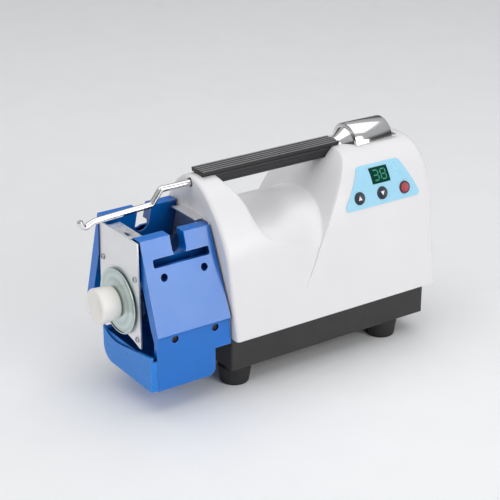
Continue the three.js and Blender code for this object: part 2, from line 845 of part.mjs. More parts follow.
// ---------------------------------------------------------------- control panel
function controlLabel() {
  const corner = 3;
  const [left, right, bottom, top] = [139.4, 236, 104.6, 143.6];
  const shape = new THREE.Shape();
  shape.moveTo(left + corner, bottom);
  shape.lineTo(right - corner, bottom);
  shape.quadraticCurveTo(right + 1, bottom, right - 0.6, bottom + corner);
  shape.lineTo(219, top - corner);
  shape.quadraticCurveTo(217.6, top, 214.5, top);
  shape.lineTo(167, top);
  shape.quadraticCurveTo(163.4, top, 162.4, top - corner);
  shape.lineTo(left + 0.4, bottom + corner);
  shape.quadraticCurveTo(left - 0.6, bottom, left + corner, bottom);
  const film = cut(envelope(0.8), envelope(gap));
  const label = common(film, slabY(shape, -80, -20, 5));
  const tools = [-1, 0, 1].map((index) => placed(buttonHole(), panel, index * buttonPitch));
  tools.push(placed(box(-11.8, 11.8, -8.8, 8.8, -12, 8), display));
  return cut(label, ...tools);
}

function pushButton() {
  return turnedZ([
    [0, -9],
    [2.6, -9],
    [2.6, -3],
    [buttonRadius, -3],
    [buttonRadius, 1.4],
    [buttonRadius - 0.6, 2],
    [0, 2],
  ], 20);
}

// ---------------------------------------------------------------- power inlet and switch
function powerInlet() {
  const { y, z, width, height, face } = outlet;
  const flange = box(face - 1.3, face, y - width / 2, y + width / 2, z - height / 2, z + height / 2);
  const body = box(226, face - 1, y - 13.4, y + 13.4, z - 9.9, z + 9.9);
  const socket = box(236, face + 5, y - 12, y + 12, z - 8, z + 8);
  const pins = [];
  for (const [dy, dz] of [[-7, -1.5], [0, 2.5], [7, -1.5]]) {
    pins.push(box(234, face - 4, y + dy - 1, y + dy + 1, z + dz - 2, z + dz + 2));
  }
  return join(cut(join(flange, body), socket), ...pins);
}

function rockerFrame() {
  const { y, z, width, height } = rocker;
  const face = outlet.face;
  const flange = box(face - 1.3, face, y - width / 2, y + width / 2, z - height / 2 - 1, z + height / 2 + 1);
  const body = box(238, face - 1, y - 6.9, y + 6.9, z - 10.9, z + 10.9);
  return cut(join(flange, body), box(241, face + 5, y - 5.7, y + 5.7, z - 9.9, z + 9.9));
}

function rockerPaddle() {
  const shape = outline([[-5, -5], [4.6, -8.8], [3, 0], [4.6, 8.8], [-5, 5]]);
  return slabY(shape, -5.2, 5.2);
}

// ---------------------------------------------------------------- assembly
const instrument = new THREE.Group();
const bench = new THREE.Group();
bench.position.set(-(leftmost + outlet.face) / 2, 0, standHeight);
instrument.add(bench);

function add(name, geometry, finish, parent = bench) {
  const mesh = new THREE.Mesh(geometry, new THREE.MeshStandardMaterial(finish));
  mesh.name = name;
  parent.add(mesh);
  return mesh;
}

add('housing_shell', housingShell(), white);
add('base_pan', basePan(), charcoal);

for (const [end, x] of [['head', foot.x[0]], ['tower', foot.x[1]]]) {
  for (const [side, y] of [['near', -foot.y], ['far', foot.y]]) {
    add(`foot_${end}_${side}`, rubberFoot(), rubber).position.set(x, y, 0);
  }
}

add('near_cover', sideCover(nearCover), blue);
add('far_cover', sideCover(farCover), blue);
add('front_plate', frontPlate(), sheetMetal);
add('rear_plate', rearPlate(), sheetMetal);
add('milling_barrel', millingBarrel(), steel);
add('barrel_cap', barrelCap(), steel);
add('feed_funnel', feedFunnel(), navy);

frontScrews.forEach(([y, z], index) => {
  const screw = add(`front_plate_screw_${index + 1}`, panScrew(3, 1.8, 1.5, 1.6), steel);
  screw.rotation.y = Math.PI / 2;
  screw.position.set(head.front - gap, y, z);
});

for (const cover of [nearCover, farCover]) {
  lowerHoles.x.forEach((x, index) => {
    const name = `${cover.side < 0 ? 'near' : 'far'}_cover_screw_${index + 1}`;
    const screw = add(name, panScrew(3.4, 1.8, 1.5, 4), steel);
    screw.rotation.x = (cover.side * Math.PI) / 2;
    screw.position.set(x, cover.side * (lowerHoles.seatY + gap), lowerHoles.z);
  });
}

add('spindle_shaft', spindleShaft(), steel);
add('abrasive_roller', abrasiveRoller(), steel);
add('front_bearing', bearing(-87.8), steel);
add('rear_bearing', bearing(-14.7), steel);
add('dished_disc', dishedDisc(), zinc);
add('hand_knob', handKnob(), ivory);
add('coupling', coupling(), steel);

add('motor_can', motorCan(), steel);
add('motor_front_bell', motorBell(motor.start - 4.3, motor.start - gap), steel);
add('motor_rear_bell', motorBell(motor.end + gap, motor.end + 4.3), steel);
add('motor_stator', ring(motor.radius - motor.wall - 0.6, 20, 28, 88, spindleZ, 24), copper);
add('motor_rotor', motorRotor(), steel);
add('motor_fan', coolingFan(), blackPlastic);
add('motor_cradle', motorCradle(), charcoal);

add('sample_tray', sampleTray(), blue);
add('tray_rail_near', trayRail(-57.2, -54.6), steel);
add('tray_rail_far', trayRail(31.6, 36), steel);

add('handle_grip', handleGrip(), blackPlastic);
add('handle_core', handleCore(), blackPlastic);
add('swing_arm', swingArm(), chromed);
add('arm_bush', ring(4.6, armRadius + gap, -6.5, core.start - gap, armZ, 20), blackPlastic);
add('arm_collar', ring(5, armRadius + gap, 171, 177, armZ, 20), steel);
add('chrome_cover', chromeCover(), chromed);
add('chrome_neck', chromeNeck(), chromed);

add('control_label', controlLabel(), labelBlue);

// Pieces on the leaning panel are drawn flat and turned into place.
function onPanel(mesh, spot, along, depth) {
  const lean = THREE.MathUtils.degToRad(spot.lean);
  mesh.rotation.x = Math.PI / 2 - lean;
  mesh.position.set(spot.x + along, -spot.y - depth * Math.cos(lean), spot.z + depth * Math.sin(lean));
}

const buttons = [['button_up', buttonBlack], ['button_down', buttonBlack], ['button_start', buttonRed]];
buttons.forEach(([name, finish], index) => {
  const along = (index - 1) * buttonPitch;
  onPanel(add(name, pushButton(), finish), panel, along, 0);
  onPanel(add(`${name}_switch`, box(-3.5, 3.5, -3.5, 3.5, -14.7, -10.3), buttonBlack), panel, along, 0);
});

const windowShape = roundedRect(
  -display.width / 2, display.width / 2, -display.height / 2, display.height / 2, 1,
);
onPanel(add('display_window', slabZ(windowShape, -1.5, 0.8, 3), displayGreen), display, 0, 0);
onPanel(add('display_module', box(-10.5, 10.5, -7.5, 7.5, -7, -1.9), blackPlastic), display, 0, 0);
onPanel(add('control_board', box(-40, 40, -9, 12, -16.6, -15), circuitGreen), panel, 0, 0);

add('power_board', box(150, 230, -40, 20, -29, -27.4), circuitGreen);
add('transformer', box(165, 200, -30, 0, -27, 4), copper);
add('power_inlet', powerInlet(), blackPlastic);
add('power_switch_frame', rockerFrame(), blackPlastic);
const paddle = add('power_rocker', rockerPaddle(), blackPlastic);
paddle.position.set(rocker.pivotX, rocker.y, rocker.z);
paddle.rotation.y = THREE.MathUtils.degToRad(rocker.tilt);

export default instrument;
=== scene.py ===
import math

import bmesh
import bpy
import numpy as np
from mathutils import Matrix, Vector


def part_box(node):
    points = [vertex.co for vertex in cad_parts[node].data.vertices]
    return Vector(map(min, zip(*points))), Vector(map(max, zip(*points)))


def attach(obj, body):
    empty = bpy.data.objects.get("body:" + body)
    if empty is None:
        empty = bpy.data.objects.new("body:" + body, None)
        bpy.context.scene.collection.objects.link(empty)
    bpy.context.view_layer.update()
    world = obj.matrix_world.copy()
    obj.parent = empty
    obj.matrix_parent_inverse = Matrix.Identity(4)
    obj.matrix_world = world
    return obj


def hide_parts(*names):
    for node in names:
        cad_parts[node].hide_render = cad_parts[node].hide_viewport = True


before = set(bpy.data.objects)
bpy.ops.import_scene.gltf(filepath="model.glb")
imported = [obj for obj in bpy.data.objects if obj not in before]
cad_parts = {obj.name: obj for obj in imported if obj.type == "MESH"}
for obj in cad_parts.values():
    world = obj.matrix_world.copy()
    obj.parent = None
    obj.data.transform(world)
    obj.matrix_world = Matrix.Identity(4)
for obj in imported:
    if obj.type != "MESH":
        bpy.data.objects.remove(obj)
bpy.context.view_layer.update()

# ---------------------------------------------------------------- the bench frame
# Pieces are drawn in millimetres in the bench frame: zero is the left end of the housing's
# bottom edge on the centre plane. The base pan, whose size is known, gives its place.
MM = 0.001
PAN_HEIGHT = 36.5
PAN_LENGTH = 250.0
pan_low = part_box("base_pan")[0]
ORIGIN = Vector((pan_low.x, 0.0, pan_low.z + PAN_HEIGHT * MM))

# ---------------------------------------------------------------- driving dimensions
HALF_WIDTH = 71.0
WALL = 3.0
END_LEAN = 9.0 / 155.0
LENGTH = 255.0
ROUNDING = 8.0
HEAD_ARCH = {"shoulder": 82, "half": 62.6, "top": 157, "rise": 1.3, "spread": 2}
TOWER_ARCH = {"shoulder": 82, "half": 64.5, "top": 157.5, "rise": 2, "spread": 2.8}
ARCH_BLEND = 140.0
DRUM = {"axis": 72, "radius": 62.5, "top": 117, "low_top": 108, "foot": 10, "start": 50, "end": 100}
# Side view of the hand opening in X and Z: the left shoulder's crest and the tower's flank.
CREST = [
    (17.5, 166), (20.5, 155.5), (26, 145), (30, 134), (33.5, 119), (38, 109.5), (45.5, 99.5),
    (59.5, 84.5), (77, 73), (74, 40), (72, 10),
]
FLANK = [
    (168, 168), (160, 157), (151, 147.5), (140, 135.5), (124.5, 111.5), (110.5, 83.5),
    (95, 51.5), (72, 10),
]

SPINDLE_Z = 44.0
ARM_Z = 150.5
CRANK_Z = 136.5
ARM_RADIUS = 3.2
BEND_Z = 27.0
SKIRT_Y = 62.5
NOTCH = {"x": -47.0, "half": 8.0, "bottom": 104.0}
PANEL = {"x": 187.6, "y": 59.6, "z": 115.5, "lean": 17.4}
DISPLAY = {"x": 189.5, "y": 51.9, "z": 133.0, "lean": 31.4, "width": 23.0, "height": 17.0}
BUTTON_PITCH = 29.5
BUTTON_RADIUS = 6.5
WELL_GAP = 0.3
CHROME = {"axis": 153.5, "radius": 21.5, "sheet": 1.6, "start": 183.3, "end": 231.0}
OUTLET = {"y": -26.0, "z": 24.0, "width": 30.0, "height": 24.0, "face": 256.8}
OUTLET_BODY = (13.4, 9.9)
ROCKER = {"y": 22.0, "z": 24.0, "width": 16.0, "height": 24.0, "pivot": 250.8, "tilt": 7.0}
FOOT_X = (14.5, 206.0)
FOOT_Y = 43.0
SPINDLE = (0.0, 0.0, SPINDLE_Z)
ARM_LINE = (0.0, 0.0, ARM_Z)


def mix(a, b, t):
    return a + (b - a) * t


def smooth(low, high, value):
    t = min(max((value - low) / (high - low), 0.0), 1.0)
    return t * t * (3 - 2 * t)


# ---------------------------------------------------------------- mesh tools
def new_object(name, verts, faces, material=None, smooth_angle=35):
    mesh = bpy.data.meshes.new(name)
    placed = [ORIGIN + Vector(v) * MM for v in verts]
    mesh.from_pydata(placed, [], faces)
    mesh.validate()
    tidy = bmesh.new()
    tidy.from_mesh(mesh)
    bmesh.ops.remove_doubles(tidy, verts=tidy.verts, dist=1e-6)
    bmesh.ops.dissolve_degenerate(tidy, edges=tidy.edges, dist=1e-6)
    bmesh.ops.recalc_face_normals(tidy, faces=tidy.faces)
    tidy.to_mesh(mesh)
    tidy.free()
    obj = bpy.data.objects.new(name, mesh)
    bpy.context.scene.collection.objects.link(obj)
    if material:
        mesh.materials.append(material)
    shade(obj, smooth_angle)
    return obj


def shade(obj, angle):
    mesh = obj.data
    for polygon in mesh.polygons:
        polygon.use_smooth = True
    mesh.set_sharp_from_angle(angle=math.radians(angle))


def finish_modifiers(obj, angle=35):
    """Turns an object's modifiers into its mesh."""
    bpy.context.view_layer.update()
    graph = bpy.context.evaluated_depsgraph_get()
    mesh = bpy.data.meshes.new_from_object(obj.evaluated_get(graph))
    obj.modifiers.clear()
    obj.data = mesh
    shade(obj, angle)
    return obj


def bevel(obj, width, segments=3, angle=30):
    """Rounds the edges that are sharper than the angle, and makes that its mesh."""
    modifier = obj.modifiers.new("rounded_edges", "BEVEL")
    modifier.width = width * MM
    modifier.segments = segments
    modifier.limit_method = "ANGLE"
    modifier.angle_limit = math.radians(angle)
    modifier.miter_outer = "MITER_ARC"
    modifier.use_clamp_overlap = True
    finish_modifiers(obj, 40)
    flat = obj.modifiers.new("flat_faces", "WEIGHTED_NORMAL")
    flat.keep_sharp = True
    return obj


def boolean(obj, cutters, operation="DIFFERENCE", angle=35):
    """Cuts or joins other objects, which are used up."""
    for cutter in cutters:
        modifier = obj.modifiers.new("cut", "BOOLEAN")
        modifier.operation = operation
        modifier.object = cutter
        modifier.solver = "MANIFOLD"
    finish_modifiers(obj, angle)
    for cutter in cutters:
        bpy.data.objects.remove(cutter, do_unlink=True)
    return obj


def merged(name, objects, material):
    """Makes one object of several that don't touch."""
    verts, faces = [], []
    for obj in objects:
        start = len(verts)
        verts.extend((v.co - ORIGIN) / MM for v in obj.data.vertices)
        faces.extend([start + i for i in p.vertices] for p in obj.data.polygons)
    for obj in objects:
        bpy.data.objects.remove(obj, do_unlink=True)
    return new_object(name, verts, faces, material)


def box(x0, x1, y0, y1, z0, z1, name="block", material=None):
    verts = [(x, y, z) for x in (x0, x1) for y in (y0, y1) for z in (z0, z1)]
    faces = [(0, 1, 3, 2), (4, 6, 7, 5), (0, 4, 5, 1), (2, 3, 7, 6), (0, 2, 6, 4), (1, 5, 7, 3)]
    return new_object(name, verts, faces, material)


def prism(outline, plane, low, high, name="block", material=None):
    """Extrudes a closed outline. Its plane is YZ, XZ or XY, and low and high lie across it."""
    place = {
        "YZ": lambda u, v, w: (w, u, v),
        "XZ": lambda u, v, w: (u, w, v),
        "XY": lambda u, v, w: (u, v, w),
    }[plane]
    count = len(outline)
    verts = [place(u, v, w) for w in (low, high) for u, v in outline]
    faces = [list(range(count)), list(range(count, 2 * count))]
    faces += [(i, (i + 1) % count, count + (i + 1) % count, count + i) for i in range(count)]
    return new_object(name, verts, faces, material)


def arc(cu, cv, radius, start, end, steps=8):
    """Points of an arc; angles are in degrees."""
    angles = [math.radians(mix(start, end, i / steps)) for i in range(steps + 1)]
    return [(cu + radius * math.cos(a), cv + radius * math.sin(a)) for a in angles]


def rounded_rect(u0, u1, v0, v1, radius, steps=6):
    points = []
    corners = [(u1, v0, -90), (u1, v1, 0), (u0, v1, 90), (u0, v0, 180)]
    for u, v, start in corners:
        cu = u - radius if u == u1 else u + radius
        cv = v - radius if v == v1 else v + radius
        points += arc(cu, cv, radius, start, start + 90, steps)
    return points


def spline(points, steps=8):
    """A smooth line through a few points."""
    ends = [Vector(points[0]) * 2 - Vector(points[1]), Vector(points[-1]) * 2 - Vector(points[-2])]
    line = [ends[0], *[Vector(p) for p in points], ends[1]]
    path = []
    for p0, p1, p2, p3 in zip(line, line[1:], line[2:], line[3:]):
        for i in range(steps):
            t = i / steps
            bend = 2 * p0 - 5 * p1 + 4 * p2 - p3
            swing = -p0 + 3 * p1 - 3 * p2 + p3
            path.append(0.5 * (2 * p1 + (p2 - p0) * t + bend * t * t + swing * t**3))
    path.append(line[-2])
    return [tuple(p) for p in path]


def joined_rings(rings):
    """The points of equal rings in a row, the quads between them and their two end faces."""
    verts = [p for ring in rings for p in ring]
    sides = len(rings[0])
    quads = []
    for start in range(0, len(verts) - sides, sides):
        for i in range(sides):
            j = (i + 1) % sides
            quads.append((start + i, start + j, start + sides + j, start + sides + i))
    ends = [list(range(sides)), list(range(len(verts) - sides, len(verts)))]
    return verts, quads, ends


def grid_quads(rows, columns):
    """The quads between the points of a grid, row by row."""
    starts = [r * columns + c for r in range(rows - 1) for c in range(columns - 1)]
    return [(a, a + 1, a + columns + 1, a + columns) for a in starts]


def lathe(profile, axis, centre, name="turned", material=None, sides=64, angle=35):
    """Turns a profile of (place along axis, radius) about a line parallel to X, Y or Z."""
    rings = []
    for along, radius in profile:
        ring = []
        for i in range(sides):
            a = 2 * math.pi * i / sides
            u, v = radius * math.cos(a), radius * math.sin(a)
            offset = {"X": (along, u, v), "Y": (u, along, v), "Z": (u, v, along)}[axis]
            ring.append(tuple(c + o for c, o in zip(centre, offset)))
        rings.append(ring)
    verts, quads, ends = joined_rings(rings)
    closed = all(abs(a - b) < 1e-6 for a, b in zip(profile[0], profile[-1]))
    return new_object(name, verts, quads if closed else quads + ends, material, angle)


def rod(axis, radius, low, high, centre, sides=48):
    return lathe([(low, radius), (high, radius)], axis, centre, sides=sides)


def on_panel(obj, spot, along=0.0):
    """Turns a piece drawn flat about the bench zero, facing +Z, onto the leaning panel."""
    turn = Matrix.Rotation(math.radians(90 - spot["lean"]), 4, "X")
    place = Vector((spot["x"] + along, -spot["y"], spot["z"])) * MM
    obj.data.transform(Matrix.Translation(ORIGIN + place) @ turn @ Matrix.Translation(-ORIGIN))
    obj.data.update()
    return obj


def hand_in(obj, body, slot, *nodes):
    """Puts a finished piece on its CAD body, in the place of its CAD nodes."""
    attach(obj, body)
    if nodes:
        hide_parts(*nodes)
    return obj


# ---------------------------------------------------------------- materials
def new_material(name, color, roughness, metallic=0.0, coat=0.0):
    material = bpy.data.materials.new(name)
    material.use_nodes = True
    shader = material.node_tree.nodes["Principled BSDF"]
    shader.inputs["Base Color"].default_value = (*color, 1)
    shader.inputs["Roughness"].default_value = roughness
    shader.inputs["Metallic"].default_value = metallic
    shader.inputs["Coat Weight"].default_value = coat
    shader.inputs["Coat Roughness"].default_value = 0.12
    return material


def drive(material, socket, source):
    """Links a source to an input of the material's shader."""
    link(material, source, material.node_tree.nodes["Principled BSDF"].inputs[socket])


def add_node(material, kind, **inputs):
    node = material.node_tree.nodes.new(kind)
    for key, value in inputs.items():
        node.inputs[key.replace("_", " ")].default_value = value
    return node


def link(material, source, target):
    material.node_tree.links.new(source, target)


def object_space(material, stretch=(1, 1, 1)):
    coordinates = add_node(material, "ShaderNodeTexCoord")
    mapping = add_node(material, "ShaderNodeMapping", Scale=stretch)
    link(material, coordinates.outputs["Object"], mapping.inputs["Vector"])
    return mapping.outputs["Vector"]


def noise(material, vector, scale, detail=3.0):
    node = add_node(material, "ShaderNodeTexNoise", Scale=scale, Detail=detail)
    link(material, vector, node.inputs["Vector"])
    return node.outputs["Fac"]


def remap(material, value, low, high, from_low=0.3, from_high=0.7):
    node = add_node(material, "ShaderNodeMapRange")
    node.inputs["From Min"].default_value = from_low
    node.inputs["From Max"].default_value = from_high
    node.inputs["To Min"].default_value = low
    node.inputs["To Max"].default_value = high
    link(material, value, node.inputs["Value"])
    return node.outputs["Result"]


def blend_colors(material, factor, first, second):
    node = material.node_tree.nodes.new("ShaderNodeMix")
    node.data_type = "RGBA"
    sockets = node.inputs
    for socket, color in ((sockets[6], first), (sockets[7], second)):
        if isinstance(color, tuple):
            socket.default_value = (*color, 1)
        else:
            link(material, color, socket)
    link(material, factor, sockets[0])
    return node.outputs[2]


def tint(material, color, spread, vector, scale):
    """Slow variation of the pigment around its colour."""
    darker = tuple(c * (1 - spread) for c in color)
    lighter = tuple(min(c * (1 + spread), 1) for c in color)
    factor = remap(material, noise(material, vector, scale), 0, 1)
    return blend_colors(material, factor, darker, lighter)


def edge_wear(material, base, worn, amount):
    """Edges that hands and benches rub, found where the bevelled normal leaves the true one."""
    geometry = add_node(material, "ShaderNodeNewGeometry")
    soft = add_node(material, "ShaderNodeBevel", Radius=0.0009)
    soft.samples = 4
    dot = material.node_tree.nodes.new("ShaderNodeVectorMath")
    dot.operation = "DOT_PRODUCT"
    link(material, geometry.outputs["Normal"], dot.inputs[0])
    link(material, soft.outputs["Normal"], dot.inputs[1])
    factor = remap(material, dot.outputs["Value"], amount, 0.0, 0.86, 0.995)
    return blend_colors(material, factor, base, worn)


def painted_crevice_shade(material, base, shade_color, reach):
    """Painted shade: slots, holes and inner faces darken towards the shade colour where ambient occlusion
    finds them sheltered.
    """
    shelter = add_node(material, "ShaderNodeAmbientOcclusion", Distance=reach)
    shelter.samples = 6
    openness = remap(material, shelter.outputs["AO"], 0, 1, 0.35, 0.85)
    return blend_colors(material, openness, shade_color, base)


def set_bump(material, height, strength, distance):
    bump = add_node(material, "ShaderNodeBump", Strength=strength, Distance=distance * MM)
    link(material, height, bump.inputs["Height"])
    drive(material, "Normal", bump.outputs["Normal"])
    return bump


def moulded(name, color, roughness, grain=900.0, relief=0.03, spread=0.04, wear=0.0, coat=0.0, shade_color=None):
    """Moulded plastic or paint: mottled pigment, uneven gloss and a fine grain, with painted shade in
    crevices when a shade colour is given.
    """
    material = new_material(name, color, roughness, coat=coat)
    vector = object_space(material)
    base = tint(material, color, spread, vector, 14.0)
    if wear:
        lighter = tuple(mix(c, 0.85, 0.35) for c in color)
        base = edge_wear(material, base, lighter, wear)
    # Painted shade in the crevices, when a shade colour is given.
    if shade_color:
        base = painted_crevice_shade(material, base, shade_color, 0.02)
    drive(material, "Base Color", base)
    gloss = remap(material, noise(material, vector, 55.0), roughness * 0.86, roughness * 1.14)
    drive(material, "Roughness", gloss)
    set_bump(material, noise(material, vector, grain, 2.0), 0.35, relief)
    return material


def metal(name, color, roughness, stretch=(1, 1, 1), scale=600.0, relief=0.01, spread=0.05):
    """Bare or plated metal, with brush or roll marks along the short side of the stretch."""
    material = new_material(name, color, roughness, metallic=1.0)
    vector = object_space(material, stretch)
    slow = object_space(material)
    drive(material, "Base Color", tint(material, color, spread, slow, 30.0))
    marks = noise(material, vector, scale, 4.0)
    drive(material, "Roughness", remap(material, marks, roughness * 0.7, roughness * 1.35))
    set_bump(material, marks, 0.25, relief)
    return material


def ring_marks(material, vector, **inputs):
    """Rings about the line where the vector's Y and Z are zero."""
    node = add_node(material, "ShaderNodeTexWave", **inputs)
    node.wave_type = "RINGS"
    node.rings_direction = "X"
    link(material, vector, node.inputs["Vector"])
    return node.outputs["Fac"]


def turned_metal(name, color, roughness, pitch=420.0):
    """Metal with fine concentric marks about the spindle's axis, and broad rings of painted shade in its
    colour.
    """
    material = new_material(name, color, roughness, metallic=1.0)
    coordinates = add_node(material, "ShaderNodeTexCoord")
    centre = add_node(material, "ShaderNodeMapping")
    centre.inputs["Location"].default_value = (0, 0, -(ORIGIN.z + SPINDLE_Z * MM))
    link(material, coordinates.outputs["Object"], centre.inputs["Vector"])
    vector = centre.outputs["Vector"]
    rings = ring_marks(material, vector, Scale=pitch, Distortion=0.6, Detail=2.0)
    # Painted reflection bands: broad rings of darker colour stand in for the disc's concentric
    # reflections.
    wide = ring_marks(material, vector, Scale=42.0, Distortion=1.2)
    painted_ring_shade = tuple(c * 0.82 for c in color)
    band = remap(material, wide, 0, 1, 0, 1)
    drive(material, "Base Color", blend_colors(material, band, painted_ring_shade, color))
    gloss = remap(material, rings, roughness * 0.75, roughness * 1.3, 0, 1)
    drive(material, "Roughness", gloss)
    set_bump(material, rings, 0.2, 0.01)
    return material


def circuit_board(name):
    """Green solder mask over copper tracks."""
    material = moulded(name, (0.02, 0.16, 0.06), 0.35, spread=0.08)
    vector = object_space(material)
    tracks = add_node(material, "ShaderNodeTexBrick", Scale=90.0)
    tracks.inputs["Color1"].default_value = (0.02, 0.17, 0.07, 1)
    tracks.inputs["Color2"].default_value = (0.02, 0.14, 0.05, 1)
    tracks.inputs["Mortar"].default_value = (0.05, 0.3, 0.12, 1)
    tracks.inputs["Mortar Size"].default_value = 0.04
    link(material, vector, tracks.inputs["Vector"])
    drive(material, "Base Color", tracks.outputs["Color"])
    return material


def wound_copper(name):
    """Enamelled wire laid in turns."""
    material = new_material(name, (0.55, 0.24, 0.1), 0.32, metallic=0.9)
    turns = add_node(material, "ShaderNodeTexWave", Scale=300.0, Distortion=0.4)
    link(material, object_space(material), turns.inputs["Vector"])
    band = remap(material, turns.outputs["Fac"], 0, 1, 0, 1)
    wire = blend_colors(material, band, (0.3, 0.1, 0.04), (0.72, 0.34, 0.14))
    drive(material, "Base Color", wire)
    set_bump(material, turns.outputs["Fac"], 0.5, 0.15)
    return material


WHITE = moulded("white_shell", (0.77, 0.755, 0.765), 0.36, 1100.0, 0.025, 0.012, coat=0.08)
CHARCOAL = moulded("charcoal_paint", (0.024, 0.021, 0.022), 0.52, 700.0, 0.06, 0.1, wear=0.25)
RUBBER = moulded("foot_rubber", (0.014, 0.014, 0.014), 0.72, 420.0, 0.08, 0.2)
# Painted shade: the navy that the blue mouldings darken towards in slots, holes and inner faces.
SHADE_BLUE = (0.0, 0.016, 0.11)
BLUE = moulded("blue_moulding", (0.001, 0.15, 0.57), 0.2, 800.0, 0.03, 0.06, 0.3, 0.0, SHADE_BLUE)
# Painted light: the tray is the covers' blue plastic given a lighter blue, for the light from the left on
# its front.
LIT_TRAY_BLUE = moulded("tray_moulding_painted_lighter", (0.002, 0.2, 0.68), 0.3, 800.0, 0.03, 0.05, 0.3, 0.0, SHADE_BLUE)
NAVY = moulded("dark_moulding", (0.004, 0.03, 0.13), 0.4, 600.0, 0.05, 0.12)
GRIP_BLACK = moulded("grip_plastic", (0.012, 0.011, 0.013), 0.42, 500.0, 0.02, 0.12)
# Painted highlight: lighter grey for the tops of the grip's ribs.
RIB_HIGHLIGHT = moulded("painted_rib_highlight", (0.19, 0.185, 0.19), 0.3, 300.0, 0.02, 0.2)
BLACK = moulded("black_moulding", (0.022, 0.022, 0.024), 0.42, 500.0, 0.05, 0.12, wear=0.2)
IVORY = moulded("white_nylon", (0.86, 0.83, 0.79), 0.38, 350.0, 0.04, 0.02)
LABEL = moulded("label_film", (0.36, 0.68, 0.86), 0.3, 1400.0, 0.01, 0.015, coat=0.25)
KEY_BLACK = moulded("key_black", (0.012, 0.018, 0.035), 0.4, 900.0, 0.03, 0.1)
KEY_RED = moulded("key_red", (0.42, 0.05, 0.065), 0.4, 900.0, 0.03, 0.06)
KEY_WHITE = moulded("key_marks", (0.82, 0.84, 0.86), 0.5, 900.0, 0.01, 0.02)
SHEET = metal("front_sheet", (0.86, 0.86, 0.87), 0.42, (1, 1, 14), 260.0, 0.008, 0.02)
ZINC = turned_metal("zinc_disc", (0.62, 0.72, 0.7), 0.2)
CHROMED = metal("chrome", (0.78, 0.77, 0.77), 0.13, (1, 1, 1), 60.0, 0.0008, 0.02)
STEEL = metal("machined_steel", (0.52, 0.53, 0.55), 0.3, (1, 12, 12), 300.0, 0.01, 0.06)
# Dark steel for the inner parts, and painted shade on the cover pins' heads in their holes.
DARK_STEEL_AND_PAINTED_SHADE = metal("blackened_steel_and_painted_shade", (0.07, 0.07, 0.08), 0.45, (1, 8, 8), 300.0, 0.02, 0.15)
COPPER = wound_copper("motor_winding")
CIRCUIT = circuit_board("circuit_board")


def segment_material():
    material = moulded("display_segments", (0.05, 0.32, 0.2), 0.4, 900.0, 0.004, 0.05)
    shader = material.node_tree.nodes["Principled BSDF"]
    shader.inputs["Emission Color"].default_value = (0.1, 0.62, 0.38, 1)
    shader.inputs["Emission Strength"].default_value = 0.05
    return material


def window_material():
    material = moulded("display_tint", (0.001, 0.045, 0.032), 0.3, 900.0, 0.004, 0.1)
    shader = material.node_tree.nodes["Principled BSDF"]
    shader.inputs["Specular IOR Level"].default_value = 0.12
    return material


WINDOW = window_material()
SEGMENT = segment_material()


# ---------------------------------------------------------------- housing surface
def arch_at(x):
    t = min(max(x / ARCH_BLEND, 0.0), 1.0)
    return {key: mix(HEAD_ARCH[key], TOWER_ARCH[key], t) for key in HEAD_ARCH}


def envelope_half(x, z):
    arch = arch_at(x)
    if z <= arch["shoulder"]:
        return mix(HALF_WIDTH, arch["half"], z / arch["shoulder"])
    height = min((z - arch["shoulder"]) / (arch["top"] - arch["shoulder"]), 1.0)
    return arch["half"] * (1 - height ** arch["rise"]) ** (1 / arch["spread"])


def envelope_reach(x, angle):
    """How far the envelope is from the drum's axis line, along a ray at that angle."""
    low, high = 0.0, 110.0
    for _ in range(30):
        middle = (low + high) / 2
        z = DRUM["axis"] + middle * math.sin(angle)
        inside = z < arch_at(x)["top"] and middle * math.cos(angle) < envelope_half(x, z)
        low, high = (middle, high) if inside else (low, middle)
    return low


def drum_shape(x):
    narrowing = smooth(DRUM["start"], DRUM["end"], x)
    at_axis = envelope_half(x, DRUM["axis"]) + 1
    radius = mix(at_axis, DRUM["radius"], narrowing)
    top = mix(DRUM["low_top"], DRUM["top"], smooth(62, 100, x))
    spread = mix(3.6, 2.0, smooth(DRUM["start"], DRUM["end"], x))
    return at_axis, radius, top, spread


def drum_half(x, z):
    at_axis, radius, _, _ = drum_shape(x)
    rise = max((z - DRUM["foot"]) / (DRUM["axis"] - DRUM["foot"]), 0.0)
    return min(envelope_half(x, z) + 1 - (at_axis - radius) * rise**0.75, envelope_half(x, z))


def drum_reach(x, angle):
    _, radius, top, spread = drum_shape(x)
    across = abs(math.cos(angle)) / radius
    upward = abs(math.sin(angle)) / (top - DRUM["axis"])
    return min((across**spread + upward**spread) ** (-1 / spread), envelope_reach(x, angle))


def side_curve(corners):
    """A line of the hand opening as its heights, from the foot up, and the x at each."""
    line = spline(corners, 20)[::-1]
    return np.array([z for _, z in line]), np.array([x for x, _ in line])


CREST_Z, CREST_X = side_curve(CREST)
FLANK_Z, FLANK_X = side_curve(FLANK)


def left_edge(z):
    return float(np.interp(z, CREST_Z, CREST_X))


def right_edge(z):
    return float(np.interp(z, FLANK_Z, FLANK_X))


def row_point(x, row, which):
    """The envelope's or the drum's point at x, on a row: ("z", height) or ("angle", ray)."""
    kind, value = row
    if kind == "z":
        half = envelope_half(x, value) if which == "envelope" else drum_half(x, value)
        return half, value
    reach = envelope_reach(x, value) if which == "envelope" else drum_reach(x, value)
    return reach * math.cos(value), DRUM["axis"] + reach * math.sin(value)


def crossing(row, which, edge, low, high):
    """Where a row on the envelope or drum meets a slope of the hand opening."""
    rising = edge is right_edge
    for _ in range(26):
        x = (low + high) / 2
        z = row_point(x, row, which)[1]
        beyond = x > edge(z) if rising else x < edge(z)
        low, high = (low, x) if beyond == rising else (x, high)
    return (low + high) / 2


def eased(count, start_power, end_power):
    """Fractions from 0 to 1 that crowd towards their ends."""
    steps = [i / count for i in range(count + 1)]
    return [t**start_power / (t**start_power + (1 - t) ** end_power) for t in steps]


LEFT_ROUND = 3.5
COLUMNS = {"end": 5, "left": 18, "slope": 12, "drum": 46, "flank": 14, "tower": 50}


